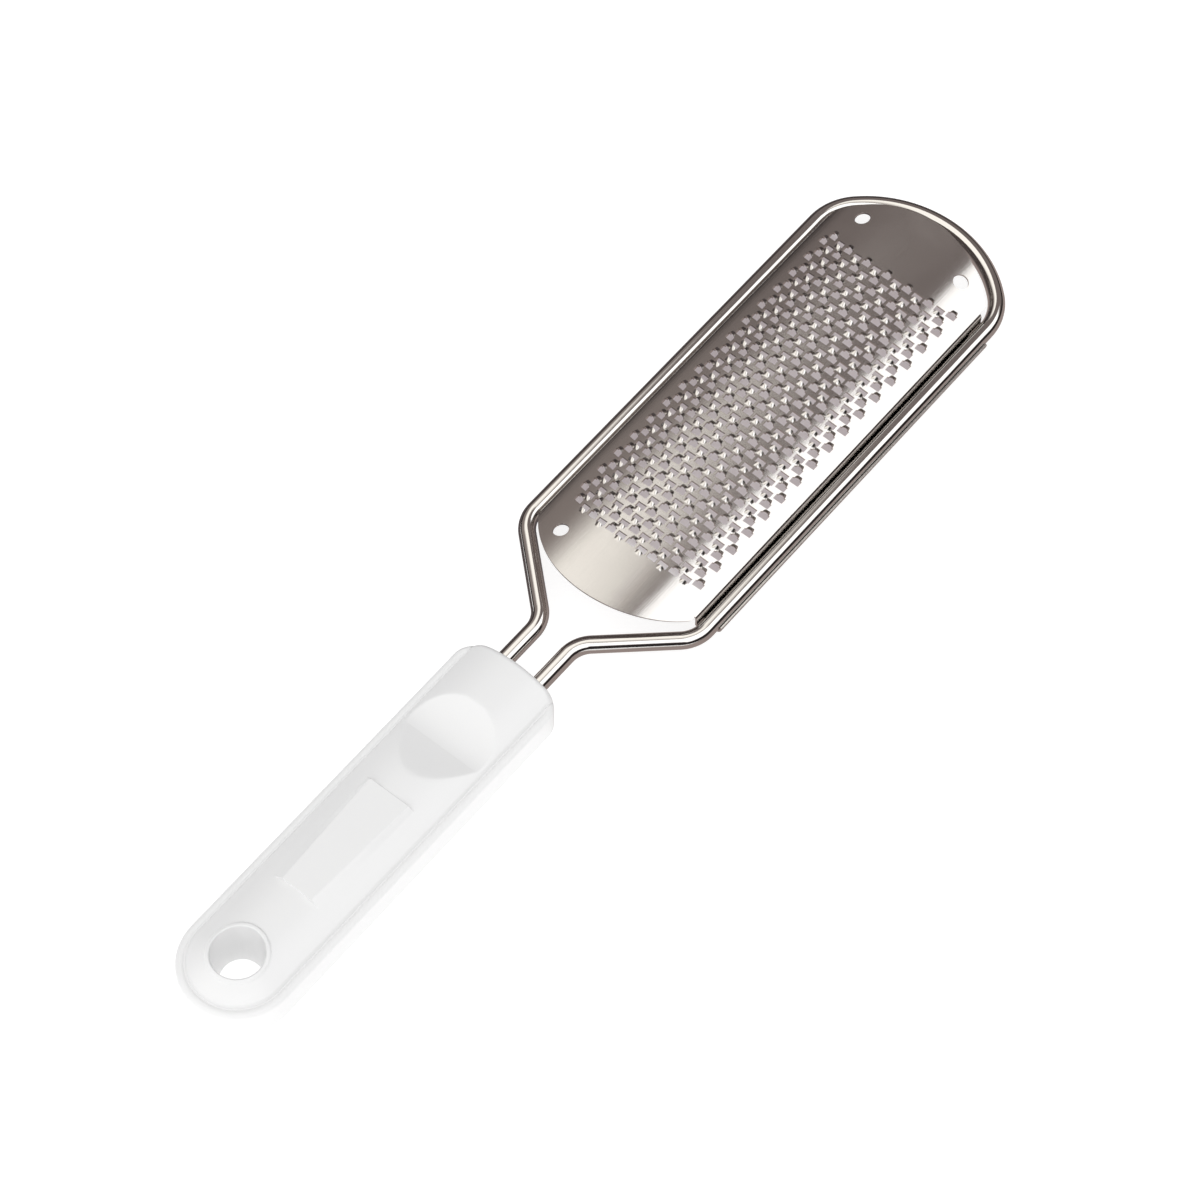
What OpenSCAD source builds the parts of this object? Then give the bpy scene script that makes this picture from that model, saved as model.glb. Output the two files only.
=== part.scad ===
// Foot file: a crowned rasp plate hemmed round a bent wire frame, on a two-piece moulded handle.
// It lies on the flat base of the handle. +X runs from the handle to the tip, +Y is the left side
// seen from the handle, +Z is up. The origin is under the middle of the whole length.
// Lengths along the tool are counted from the handle's rear end.

/* [Overall] */
// Length from the rear end of the handle to the tip of the wire
total_l = 260; // [250:1:280]

/* [Wire frame] */
// Diameter of the wire
wire_d = 4; // [3.6:0.1:4.4]
// Height of the wire's centre over the base, which is also the parting height of the handle
wire_z = 6; // [5.6:0.1:6.4]
// Width of the loop between the centres of its two sides
loop_w = 48.5; // [46:0.5:52]
// Distance between the centres of the two tails
tail_w = 9.7; // [8.8:0.1:11]
// Length of the tails inside the handle
tail_in_l = 31.2; // [28:0.2:32]
// Length of the tails from the handle to the first bend's corner
neck_l = 14.5; // [12:0.5:18]
// Length from the first bend's corner to the corner where the loop's side starts
shoulder_l = 17.6; // [16:0.2:20]
// Radius of the bend at the neck, at the wire's centre
neck_bend_r = 7.5; // [6:0.5:9]
// Radius of the bend at the shoulder, at the wire's centre
shoulder_bend_r = 8; // [6:0.5:8.5]
// Radius of the loop's two front corners, at the wire's centre
corner_bend_r = 13; // [11:0.5:15]
// Radius of the loop's tip, at the wire's centre
tip_bend_r = 29; // [28:0.5:32]
// How much the wire's radius swells in its sharp bends
bend_bulge = 0.03; // [0.02:0.01:0.05]

/* [Rasp plate] */
// Thickness of the sheet
sheet_t = 0.5; // [0.4:0.05:0.6]
// Length of the plate along its middle
plate_l = 127.2; // [124:0.2:130]
// Distance from the plate's tip to the tip of the wire
tip_inset = 7.5; // [7:0.1:9]
// Radius of the plate's rear end
plate_rear_r = 26; // [25:0.5:30]
// Radius of the plate's front end
plate_front_r = 31; // [28:0.5:34]
// Height of the crown over the base
plate_top = 14.4; // [13.8:0.1:15]
// Radius of the crown across the plate
plate_crown_r = 48.75; // [46:0.25:54]
// Outer radius of the bend between the crown and the hem's wall
fold_r = 1.2; // [0.8:0.1:1.5]
// How much the fold thickens the sheet, on each face
fold_bulge = 0.03; // [0.02:0.01:0.05]
// Distance from the plate's rear end to the start of the hem's wall
hem_inset = 12.7; // [12.5:0.1:14]
// Distance from the hem's end to the plate's tip
hem_front_inset = 11; // [10.5:0.1:12]
// How much shorter the rolled part of the hem is at its rear end
lip_rear_trim = 2.8; // [2:0.1:5]
// How much shorter the rolled part of the hem is at its front end
lip_front_trim = 4; // [3:0.1:6]
// Height of the lip over the wire's centre
lip_rise = 0.3; // [0.1:0.1:1]
// Running gap between the hem and the wire
hem_gap = 0.1; // [0.05:0.01:0.15]
// Diameter of the small round holes
hole_d = 3.6; // [3:0.1:4]
// Distance of the small holes from the middle line
hole_y = 14.1; // [12:0.1:16]
// Distance of the two front holes from the plate's tip
front_hole_inset = 8.5; // [8:0.1:10]
// Distance of the rear hole from the plate's rear end
rear_hole_inset = 10.1; // [9:0.1:11]

/* [Teeth] */
// Number of rows of teeth along the plate
rows = 26; // [8:2:26]
// Distance from the last tooth of a middle row to the plate's tip
field_front_inset = 19.1; // [18:0.1:22]
// Distance between neighbouring teeth of a row
tooth_pitch = 5.73; // [5.7:0.01:5.9]
// Distance between neighbouring rows, along the crown
row_pitch = 1.445; // [1.4:0.005:1.48]
// Distance from the plate's rear end to the middle of the first tooth's window
field_inset = 16.4; // [15:0.1:17]
// How far the field's outer row on the left sits ahead of its middle rows
field_bow_left = 3.5; // [2:0.1:4]
// How far the field's outer row on the right sits ahead of its middle rows
field_bow_right = 2.3; // [1.5:0.1:4]
// Length of the window in front of a cutting edge
window_l = 1.5; // [1.4:0.05:1.6]
// Width of the window
window_w = 2.3; // [2.2:0.05:2.35]
// Step from the window's side to the side of the hood
hood_inset = 0.3; // [0.26:0.01:0.32]
// Length of the hood behind the cutting edge
hood_l = 0.9; // [0.8:0.05:0.95]
// Height of the cutting edge over the plate
hood_h = 0.74; // [0.65:0.01:0.76]

/* [Handle body] */
// Length of the handle
handle_l = 103.2; // [98:0.2:104]
// Width of the handle
handle_w = 26.6; // [26:0.2:30]
// Height of the rim over the base
rim_z = 9.5; // [9.2:0.1:10]
// Width of the rim round the cover
rim_w = 1.95; // [1.8:0.05:2.4]
// Radius of the handle's two front corners
front_r = 5; // [4.5:0.5:7]
// Rounding of the edge round the base
base_round = 2.5; // [1.5:0.1:2.8]
// Rounding of the rim's outer edge
rim_round = 1.1; // [0.6:0.1:1.4]
// Thickness of the floor
floor_t = 2; // [1.6:0.1:2.4]
// Width of the ledge that carries the cover
ledge_w = 1.9; // [1.6:0.1:2.2]
// Thickness of the front wall, where the tails come out
front_wall = 2.5; // [2:0.1:3]
// Gap between the cover and the rim
seam_gap = 0.12; // [0.08:0.01:0.2]

/* [Handle cover] */
// Height of the cover's crown over the base
cover_top = 13.5; // [13.3:0.1:14]
// Radius of the crown across the cover
cover_crown_r = 18; // [17:0.5:22]
// Wall of the cover
cover_t = 1.8; // [1.5:0.1:2]
// Diameter of the hanging hole in the cover
hang_d = 11.8; // [11:0.1:12]
// Diameter of the hanging hole in the body
hang_low_d = 9.4; // [8:0.1:10.5]
// Width of the raised ring round the hanging hole
ring_w = 1.1; // [0.8:0.1:1.3]
// Height of the raised ring over the crown
ring_rise = 0.35; // [0.2:0.05:0.6]
// Wall round the hanging hole, inside the handle
hang_wall = 1.8; // [1.5:0.1:2]
// Distance from the handle's rear end to the middle of the label pad
pad_x = 46.75; // [44:0.25:48]
// Length of the label pad
pad_l = 29.6; // [26:0.2:31]
// Width of the label pad at its foot
pad_w = 12.8; // [11:0.2:13]
// Width of the pad's flat face at its rear end
pad_rear_face_w = 8.1; // [7:0.1:9]
// Width of the pad's flat face at its front end
pad_front_face_w = 10.8; // [9.5:0.1:11]
// Height of the pad's flat face over the crown
pad_rise = 0.15; // [0.1:0.05:0.4]
// Distance from the handle's rear end to the dish's rear edge
dish_x = 68.1; // [67:0.1:70]
// Length of the dish's sloping rear face, up to the crease
dish_rear_l = 9.9; // [9:0.1:11]
// Length of the dish's hollow front face, from the crease
dish_front_l = 11.9; // [11:0.1:13]
// How far the lowest line of the hollow lies in front of the crease
dish_low_l = 2.5; // [1.5:0.1:3]
// Depth of the dish under the crown
dish_depth = 2.9; // [2.4:0.1:3]

/* [Cradle for the tails] */
// Thickness of the ribs that hold the tails
rib_t = 2.5; // [2:0.1:3]
// Distance from the end of the tails to the rear pair of ribs
rear_rib_l = 4; // [3:0.5:6]
// Distance from the end of the tails to the front pair of ribs
front_rib_l = 20; // [14:0.5:22]
// Gap between the wire and what holds it
tail_gap = 0.1; // [0.05:0.01:0.15]

/* [Hidden] */

$fn = 64;
// Facets of the large arcs
fine = 180;
// Facets of a tooth's hood
hood_fn = 20;
// How far a cutting shape runs past what it cuts
over = 0.5;
// How far a straight stretch of the wire runs into a bend
lap = 0.3;
// Thin slice: the pad's flat face, and how far the cover's hollows run past its lower face
slice = 0.05;

wire_r = wire_d / 2;
loop_y = loop_w / 2;
tail_y = tail_w / 2;

// Places along the tool, counted from the handle's rear end
tail_end_x = handle_l - tail_in_l;
neck_x = handle_l + neck_l;
shoulder_x = neck_x + shoulder_l;
shoulder_turn = atan2(loop_y - tail_y, shoulder_l);
shoulder_run = norm([loop_y - tail_y, shoulder_l]);
neck_cut = neck_bend_r * tan(shoulder_turn / 2);
shoulder_cut = shoulder_bend_r * tan(shoulder_turn / 2);
tip_x = total_l - wire_r - tip_bend_r;
corner_y = loop_y - corner_bend_r;
corner_x = tip_x + sqrt(pow(tip_bend_r - corner_bend_r, 2) - pow(corner_y, 2));
corner_turn = atan2(corner_x - tip_x, corner_y);

plate_x1 = total_l - tip_inset;
plate_x0 = plate_x1 - plate_l;
hem_x = plate_x0 + hem_inset;
hem_l = plate_l - hem_inset - hem_front_inset;
hem_in_r = wire_r + hem_gap;
wall_y = loop_y - hem_in_r;
crown_z = plate_top - plate_crown_r;
fold_y = wall_y - fold_r;
fold_z = crown_z + sqrt(pow(plate_crown_r - fold_r, 2) - pow(fold_y, 2));
fold_turn = atan2(fold_z - crown_z, fold_y);
fold_lap = 2 * acos(fold_r / (fold_r + fold_bulge));
row_teeth = floor((plate_l - field_inset - field_front_inset) / tooth_pitch) + 1;
hood_r = window_w / 2 - hood_inset;
hood_sink = hood_r - hood_h;
hood_end_r = hood_sink / 2;
hood_taper = hood_h / hood_l;
hood_start_x = window_l / 2 - hood_inset;
hood_end_x = window_l / 2 + (hood_r - hood_end_r) / hood_taper;

half_w = handle_w / 2;
seat_w = half_w - rim_w;
cover_w = seat_w - seam_gap;
inner_w = seat_w - ledge_w;
hang_x = half_w;
hang_r = hang_d / 2;
hang_low_r = hang_low_d / 2;
boss_r = hang_r + hang_wall;
inner_front_x = handle_l - front_wall;
dish_low = cover_top - dish_depth;
dish_arc_reach = dish_front_l - dish_low_l;
dish_arc_r = (pow(dish_arc_reach, 2) + pow(dish_depth, 2)) / (2 * dish_depth);
crease_x = dish_x + dish_rear_l;
dish_low_x = crease_x + dish_low_l;
crease_z = dish_low + dish_arc_r - sqrt(pow(dish_arc_r, 2) - pow(dish_low_l, 2));
dish_floor = dish_low - cover_t;
bulkhead_x = dish_x - cover_t;
pad_side_z = cover_top - cover_crown_r + sqrt(pow(cover_crown_r, 2) - pow(pad_w / 2, 2));
pad_foot_z = pad_side_z - cover_t / 2;

// The whole tool is set back by half its length, so that the origin is under its middle
module placed() translate([-total_l / 2, 0, 0]) children();

// Left and right copies of what is drawn on the left
module both_sides() {
    children();
    mirror([0, 1, 0]) children();
}

// Outline of the plate seen from above
module plate_plan() {
    translate([plate_x0 + plate_rear_r, 0]) circle(plate_rear_r, $fn = fine);
    translate([plate_x0 + plate_rear_r, -loop_y])
        square([plate_l - plate_rear_r - plate_front_r, loop_w]);
    translate([plate_x1 - plate_front_r, 0]) circle(plate_front_r, $fn = fine);
}

// Curved strip of sheet, seen from its end: a ring sector about the origin, thickened by the
// bulge on both faces
module sheet_arc(outer_r, start, turn, bulge = 0) {
    reach = outer_r + over;
    steps = ceil(turn / 45);
    intersection() {
        difference() {
            circle(outer_r + bulge, $fn = outer_r > loop_y ? 4 * fine : $fn);
            circle(outer_r - sheet_t - bulge, $fn = outer_r > loop_y ? 4 * fine : $fn);
        }
        polygon(concat([[0, 0]], [for (i = [0:steps])
            2 * reach * [cos(start + turn * i / steps), sin(start + turn * i / steps)]]));
    }
}

// Section of the crown between the two folds
module crown_section() {
    translate([0, crown_z]) sheet_arc(plate_crown_r, fold_turn, 180 - 2 * fold_turn);
}

// Section of the fold and the wall under it, on the left. The fold laps the crown and the wall.
module wall_section() {
    translate([fold_y, fold_z])
        sheet_arc(fold_r, -fold_lap, fold_turn + 2 * fold_lap, fold_bulge);
    translate([wall_y - sheet_t, wire_z]) square([sheet_t, fold_z - wire_z]);
}

// Section of the part of the hem that is rolled under the wire, on the left
module roll_section() {
    translate([loop_y, wire_z]) {
        sheet_arc(hem_in_r + sheet_t, 180, 180);
        translate([hem_in_r, 0]) square([sheet_t, lip_rise]);
    }
}

// A section in Y and Z, drawn out along X
module along(x0, x1) {
    translate([x0, 0, 0]) rotate([90, 0, 90]) linear_extrude(x1 - x0) children();
}

// Hood of a tooth: half a cone that lies along X, sunk in the sheet at both ends. The window cuts
// its wide end back to the cutting edge, and its narrow end stays under the sheet's face.
module hood() {
    translate([0, 0, -hood_sink])
        rotate([0, 90, 0])
            rotate([0, 0, 90])
                rotate_extrude(angle = 180, $fn = hood_fn)
                    polygon([[0, hood_start_x], [hood_r + hood_taper * hood_inset, hood_start_x],
                        [hood_end_r, hood_end_x], [0, hood_end_x]]);
}

// Window in front of a tooth's cutting edge
module window() {
    translate([-window_l / 2, -window_w / 2, -sheet_t - over])
        cube([window_l, window_w, sheet_t + window_w]);
}

// Each row of teeth lies along the plate. Rows come in pairs that cut forward and pairs that cut
// backward, every second row sits half a pitch ahead, and the field's ends bow like the plate's.
module each_tooth() {
    for (row = [0:rows - 1]) {
        from_middle = row - (rows - 1) / 2;
        share = abs(from_middle) / ((rows - 1) / 2);
        bow = (from_middle > 0 ? field_bow_left : field_bow_right) * pow(share, 3);
        ahead = row % 2;
        facing = floor((rows - 1 - row) / 2) % 2;
        tilt = from_middle * row_pitch / plate_crown_r * 180 / PI;
        row_x = plate_x0 + field_inset + ahead * tooth_pitch / 2 + bow;
        for (i = [0:row_teeth - 1 - ahead])
            translate([row_x + i * tooth_pitch, 0, crown_z])
                rotate([-tilt, 0, 0])
                    translate([0, 0, plate_crown_r])
                        mirror([facing, 0, 0]) children();
    }
}

module rasp_plate() {
    color("silver") placed() difference() {
        union() {
            intersection() {
                along(plate_x0, plate_x1) crown_section();
                translate([0, 0, crown_z]) linear_extrude(plate_crown_r + over) plate_plan();
            }
            along(hem_x, hem_x + hem_l) {
                wall_section();
                mirror([1, 0]) wall_section();
            }
            along(hem_x + lip_rear_trim, hem_x + hem_l - lip_front_trim) {
                roll_section();
                mirror([1, 0]) roll_section();
            }
            each_tooth() hood();
        }
        each_tooth() window();
        for (at = [[plate_x1 - front_hole_inset, hole_y], [plate_x1 - front_hole_inset, -hole_y],
                   [plate_x0 + rear_hole_inset, hole_y]])
            translate([at[0], at[1], wire_z]) cylinder(h = plate_top, d = hole_d);
    }
}

// Wire laid from the origin along X in stretches, each a straight length followed by a bend with
// its radius, its turn in degrees and how much thicker the wire is in it. The wire bends to the
// left, or to the right when turn is below 0. It ends at the first stretch without a turn.
// What is not thickened laps into the bends beside it.
module wire_chain(stretches, i = 0) {
    straight_l = stretches[i][0];
    bend_r = stretches[i][1];
    turn = stretches[i][2];
    bulge = stretches[i][3];
    lap_before = i > 0 ? lap : 0;
    lap_after = turn != 0 ? lap : 0;
    lap_turn = bulge > 0 ? 0 : lap / bend_r * 180 / PI;
    if (straight_l > 0)
        translate([-lap_before, 0, 0])
            rotate([0, 90, 0]) cylinder(h = straight_l + lap_before + lap_after, r = wire_r);
    if (turn != 0) translate([straight_l, 0, 0]) {
        mirror([0, turn < 0 ? 1 : 0, 0])
            translate([0, bend_r, 0])
                rotate([0, 0, -90 - lap_turn])
                    rotate_extrude(angle = abs(turn) + 2 * lap_turn, $fn = fine)
                        translate([bend_r, 0]) circle(wire_r + bulge, $fn = $fn / 3);
        translate([0, sign(turn) * bend_r, 0])
            rotate([0, 0, turn])
                translate([0, -sign(turn) * bend_r, 0]) wire_chain(stretches, i + 1);
    }
}

// The wire starts at the left tail's end and goes round the loop to the right tail's end
module wire_frame() {
    tail_run = neck_x - neck_cut - tail_end_x;
    diagonal_run = shoulder_run - neck_cut - shoulder_cut;
    side_run = corner_x - shoulder_x - shoulder_cut;
    color("gainsboro") placed() translate([tail_end_x, tail_y, wire_z])
        wire_chain([[tail_run, neck_bend_r, shoulder_turn, bend_bulge],
                    [diagonal_run, shoulder_bend_r, -shoulder_turn, bend_bulge],
                    [side_run, corner_bend_r, -corner_turn, bend_bulge],
                    [0, tip_bend_r, 2 * corner_turn - 180, 0],
                    [0, corner_bend_r, -corner_turn, bend_bulge],
                    [side_run, shoulder_bend_r, -shoulder_turn, bend_bulge],
                    [diagonal_run, neck_bend_r, shoulder_turn, bend_bulge],
                    [tail_run, 0, 0, 0]]);
}

// Half section of a block with a rounded upper and lower edge, from its middle out to its side
module edge_section(reach, z0, z1, low_r, high_r) {
    translate([0, z0 + low_r]) square([reach, z1 - z0 - low_r - high_r]);
    translate([0, z0]) square([reach - low_r, low_r]);
    translate([reach - low_r, z0 + low_r]) circle(low_r);
    translate([0, z1 - high_r]) square([reach - high_r, high_r]);
    translate([reach - high_r, z1 - high_r]) circle(high_r);
}

// Block with a half-round rear end and two rounded front corners
module handle_block(z0, z1, low_r, high_r) {
    translate([half_w, 0, 0]) rotate([0, 0, 90])
        rotate_extrude(angle = 180, $fn = fine) edge_section(half_w, z0, z1, low_r, high_r);
    along(half_w, handle_l - front_r) {
        edge_section(half_w, z0, z1, low_r, high_r);
        mirror([1, 0]) edge_section(half_w, z0, z1, low_r, high_r);
    }
    both_sides()
        translate([handle_l - front_r, half_w - front_r, 0])
            rotate_extrude(angle = 90) edge_section(front_r, z0, z1, low_r, high_r);
    translate([handle_l - front_r, 0, 0]) rotate([90, 0, 0])
        linear_extrude(handle_w - 2 * front_r, center = true)
            edge_section(front_r, z0, z1, low_r, high_r);
}

// Outline of the handle seen from above
module handle_plan() {
    translate([half_w, 0]) circle(half_w, $fn = fine);
    translate([half_w, -half_w]) square([handle_l - half_w - front_r, handle_w]);
    translate([half_w, front_r - half_w]) square([handle_l - half_w, handle_w - 2 * front_r]);
    for (side = [-1, 1])
        translate([handle_l - front_r, side * (half_w - front_r)]) circle(front_r);
}

// Outline inset from the handle's rear end and sides, up to a straight front end
module inset_plan(w, x1) {
    translate([half_w, 0]) circle(w, $fn = fine);
    translate([half_w, -w]) square([x1 - half_w, 2 * w]);
}

// Grooves for the two tails
module tail_grooves() {
    both_sides()
        translate([tail_end_x - tail_gap, tail_y, wire_z]) rotate([0, 90, 0])
            cylinder(h = tail_in_l + tail_gap + over, r = wire_r + tail_gap);
}

// Ribs across the handle's inside that hold the tails, and one behind their ends
module tail_ribs(z0, z1) {
    for (x = [tail_end_x - tail_gap - rib_t, tail_end_x + rear_rib_l, tail_end_x + front_rib_l])
        translate([x, -inner_w, z0]) cube([rib_t, 2 * inner_w, z1 - z0]);
}

module handle_body() {
    color("whitesmoke") placed() difference() {
        handle_block(0, rim_z, base_round, rim_round);
        translate([0, 0, wire_z]) linear_extrude(rim_z) inset_plan(seat_w, handle_l + over);
        difference() {
            translate([0, 0, floor_t]) linear_extrude(wire_z) inset_plan(inner_w, inner_front_x);
            translate([hang_x, 0, 0]) cylinder(h = wire_z, r = boss_r);
            tail_ribs(floor_t - over, wire_z);
        }
        translate([hang_x, 0, -over]) cylinder(h = rim_z, r = hang_low_r);
        tail_grooves();
    }
}

// Half section under a crowned top, from the middle out to the side
module crowned_section(w, top, crown_r) {
    intersection() {
        translate([0, wire_z]) square([w, top - wire_z]);
        translate([0, top - crown_r]) circle(crown_r, $fn = 2 * fine);
    }
}

// Block with a crowned top and a half-round rear end
module crowned_block(w, x1, top, crown_r) {
    translate([half_w, 0, 0]) rotate([0, 0, 90])
        rotate_extrude(angle = 180, $fn = fine) crowned_section(w, top, crown_r);
    along(half_w, x1) {
        crowned_section(w, top, crown_r);
        mirror([1, 0]) crowned_section(w, top, crown_r);
    }
}

// Dish for the thumb, seen from the side: a sloping rear face, a crease and a hollow front face
module dish_section() {
    polygon([[dish_x, cover_top], [crease_x, crease_z], [crease_x, cover_top + over],
             [dish_x, cover_top + over]]);
    intersection() {
        translate([dish_low_x, dish_low + dish_arc_r]) circle(dish_arc_r, $fn = fine);
        translate([crease_x, dish_low]) square([dish_front_l, dish_depth + over]);
    }
}

// Raised pad with a flat face, whose sloping sides start on the crown and are wider at the rear
module label_pad() {
    hull() {
        translate([pad_x - pad_l / 2, -pad_w / 2, pad_foot_z])
            cube([pad_l, pad_w, pad_side_z - pad_foot_z]);
        translate([pad_x, 0, cover_top + pad_rise - slice]) linear_extrude(slice)
            polygon([[-pad_l / 2, -pad_rear_face_w / 2], [pad_l / 2, -pad_front_face_w / 2],
                     [pad_l / 2, pad_front_face_w / 2], [-pad_l / 2, pad_rear_face_w / 2]]);
    }
}

module handle_cover() {
    color("white") placed() difference() {
        union() {
            intersection() {
                crowned_block(cover_w, handle_l, cover_top, cover_crown_r);
                linear_extrude(cover_top + over) handle_plan();
            }
            intersection() {
                crowned_block(cover_w, handle_l, cover_top + ring_rise, cover_crown_r + ring_rise);
                translate([hang_x, 0, wire_z]) cylinder(h = cover_top, r = hang_r + ring_w);
            }
            label_pad();
        }
        difference() {
            translate([0, 0, -slice])
                crowned_block(inner_w, bulkhead_x - cover_t, cover_top - cover_t,
                              cover_crown_r - cover_t);
            translate([hang_x, 0, 0]) cylinder(h = cover_top, r = boss_r);
        }
        difference() {
            translate([bulkhead_x, -inner_w, wire_z - slice])
                cube([inner_front_x - bulkhead_x, 2 * inner_w, dish_floor - wire_z + slice]);
            tail_ribs(wire_z - slice, dish_floor + slice);
        }
        translate([0, loop_y, 0]) rotate([90, 0, 0]) linear_extrude(loop_w) dish_section();
        translate([hang_x, 0, 0]) cylinder(h = cover_top + loop_y, r = hang_r);
        tail_grooves();
    }
}

rasp_plate();
wire_frame();
handle_body();
handle_cover();
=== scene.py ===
"""Foot file: the crowned rasp plate, the bent wire and the two-piece handle, dressed over the frame."""

import math

import bpy
from mathutils import Matrix, Vector
from mathutils.geometry import delaunay_2d_cdt


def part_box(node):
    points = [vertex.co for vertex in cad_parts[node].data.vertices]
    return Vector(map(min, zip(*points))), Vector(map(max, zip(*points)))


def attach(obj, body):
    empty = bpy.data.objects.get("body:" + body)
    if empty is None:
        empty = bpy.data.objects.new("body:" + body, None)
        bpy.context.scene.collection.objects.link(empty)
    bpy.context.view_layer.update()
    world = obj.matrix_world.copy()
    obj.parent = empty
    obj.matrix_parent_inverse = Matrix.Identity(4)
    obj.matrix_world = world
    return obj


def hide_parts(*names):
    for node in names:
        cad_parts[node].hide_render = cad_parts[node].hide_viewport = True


bl_info = {
    "name": "Foot File",
    "version": (1, 0, 0),
    "blender": (4, 5, 0),
    "location": "View3D > Sidebar > Foot File",
    "description": "Builds the rasp plate, the wire and the handle of a foot file, and its studio",
    "category": "Add Mesh",
}

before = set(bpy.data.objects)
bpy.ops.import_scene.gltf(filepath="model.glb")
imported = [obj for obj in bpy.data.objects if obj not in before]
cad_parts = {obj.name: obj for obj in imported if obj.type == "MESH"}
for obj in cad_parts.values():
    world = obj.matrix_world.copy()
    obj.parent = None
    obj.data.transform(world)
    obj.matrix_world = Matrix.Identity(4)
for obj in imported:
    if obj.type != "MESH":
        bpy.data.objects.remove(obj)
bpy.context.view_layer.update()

MM = 0.001
PLATE_LOW, PLATE_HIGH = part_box("rasp_plate")
WIRE_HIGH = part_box("wire_frame")[1]
BODY_LOW, BODY_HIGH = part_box("handle_body")


def length(name, description, default):
    """A size in metres that the sidebar shows in the scene's own unit."""
    return bpy.props.FloatProperty(
        name=name, description=description, default=default, min=0.0, precision=5, unit="LENGTH"
    )


def fraction(name, description, default):
    """A value from 0 to 1."""
    return bpy.props.FloatProperty(name=name, description=description, default=default, min=0.0, max=1.0)


def angle(name, description, degrees):
    """An angle that the sidebar shows in the scene's own unit."""
    return bpy.props.FloatProperty(
        name=name, description=description, default=math.radians(degrees), unit="ROTATION"
    )


def colour(name, description, default):
    """A colour that the sidebar shows as a swatch."""
    return bpy.props.FloatVectorProperty(
        name=name, description=description, default=default, subtype="COLOR", size=3, min=0.0, max=1.0
    )


class PlateSizes(bpy.types.PropertyGroup):
    """Sizes of the rasp plate's sheet and of the hem that holds the wire."""

    sheet: length("Sheet", "Thickness of the sheet", 0.5 * MM)
    crown_r: length("Crown radius", "Radius of the crown across the plate", 48.75 * MM)
    top: length("Crown height", "Height of the crown over the base", 14.4 * MM)
    rear_r: length("Rear radius", "Radius of the plate's rear end", 26 * MM)
    front_r: length("Tip radius", "Radius of the plate's tip", 31 * MM)
    fold_r: length("Fold radius", "Outer radius of the bend at the plate's sides", 1.2 * MM)
    hem_inset: length("Hem start", "From the plate's rear end to the hem", 12.7 * MM)
    hem_l: length("Hem length", "Length of the hem's wall", 103.5 * MM)
    lip_rear_trim: length("Lip rear trim", "The rolled lip starts this far into the hem", 2.8 * MM)
    lip_front_trim: length("Lip front trim", "The rolled lip ends this far before the hem", 4 * MM)
    lip_rise: length("Lip rise", "Height of the right lip over the wire's middle", 0.3 * MM)
    left_roll_short: angle("Left roll", "How far short of level the left hem's roll ends", 23)
    hem_gap: length("Hem gap", "Gap between the hem and the wire", 0.1 * MM)
    hole_d: length("Hole diameter", "Diameter of the small round holes", 3.6 * MM)
    hole_y: length("Hole offset", "Small holes' distance from the middle line", 14.1 * MM)
    front_hole_inset: length("Tip holes", "From the plate's tip to its two holes", 8.5 * MM)
    rear_hole_inset: length("Rear hole", "From the plate's rear end to its hole", 10.1 * MM)


class TeethSizes(bpy.types.PropertyGroup):
    """Sizes of the teeth and of the pattern that they stand in."""

    rows: bpy.props.IntProperty(name="Rows", description="Rows of teeth along the plate", default=26, min=2)
    row_teeth: bpy.props.IntProperty(name="Teeth", description="Teeth in a longer row", default=17, min=2)
    pitch: length("Pitch", "Distance between the teeth of a row", 5.73 * MM)
    row_pitch: length("Row pitch", "Distance between rows, round the crown", 1.445 * MM)
    field_inset: length("Field start", "From the plate's rear end to the first tooth", 16.4 * MM)
    bow_left: length("Left bow", "How far the outer row on the left sits ahead", 3.5 * MM)
    bow_right: length("Right bow", "How far the outer row on the right sits ahead", 2.3 * MM)
    lean: fraction("Lean", "How far a tooth leans with its column", 0.5)
    window_l: length("Window length", "Length of the window before a cutting edge", 1.5 * MM)
    window_w: length("Window width", "Width of the window", 2.3 * MM)
    hood_w: length("Hood width", "Width of the hood at its cutting edge", 1.7 * MM)
    hood_l: length("Hood length", "Length of the hood behind its cutting edge", 1 * MM)
    hood_h: length("Hood height", "Height of the cutting edge", 0.735 * MM)
    hood_wall: length("Hood wall", "Thickness of the pressed-up sheet", 0.18 * MM)


class WireSizes(bpy.types.PropertyGroup):
    """Sizes of the wire and of its bends."""

    wire_d: length("Wire", "Diameter of the wire", 4 * MM)
    wire_z: length("Height", "Height of the wire's middle over the base", 6 * MM)
    loop_w: length("Loop width", "Distance between the two long sides", 48.5 * MM)
    tail_w: length("Tail spacing", "Distance between the two tails", 9.7 * MM)
    tail_in_l: length("Tail length inside", "Length of the tails inside the handle", 31.2 * MM)
    neck_l: length("Neck", "From the handle to where the wire spreads", 14.5 * MM)
    shoulder_l: length("Shoulder", "Length over which the wire spreads", 17.6 * MM)
    neck_r: length("Neck bend", "Radius of the bends at the neck", 7.5 * MM)
    shoulder_r: length("Shoulder bend", "Radius of the bends at the shoulder", 8 * MM)
    corner_r: length("Corner bend", "Radius of the bends before the tip", 13 * MM)
    tip_r: length("Tip bend", "Radius of the loop's tip", 29 * MM)


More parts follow.
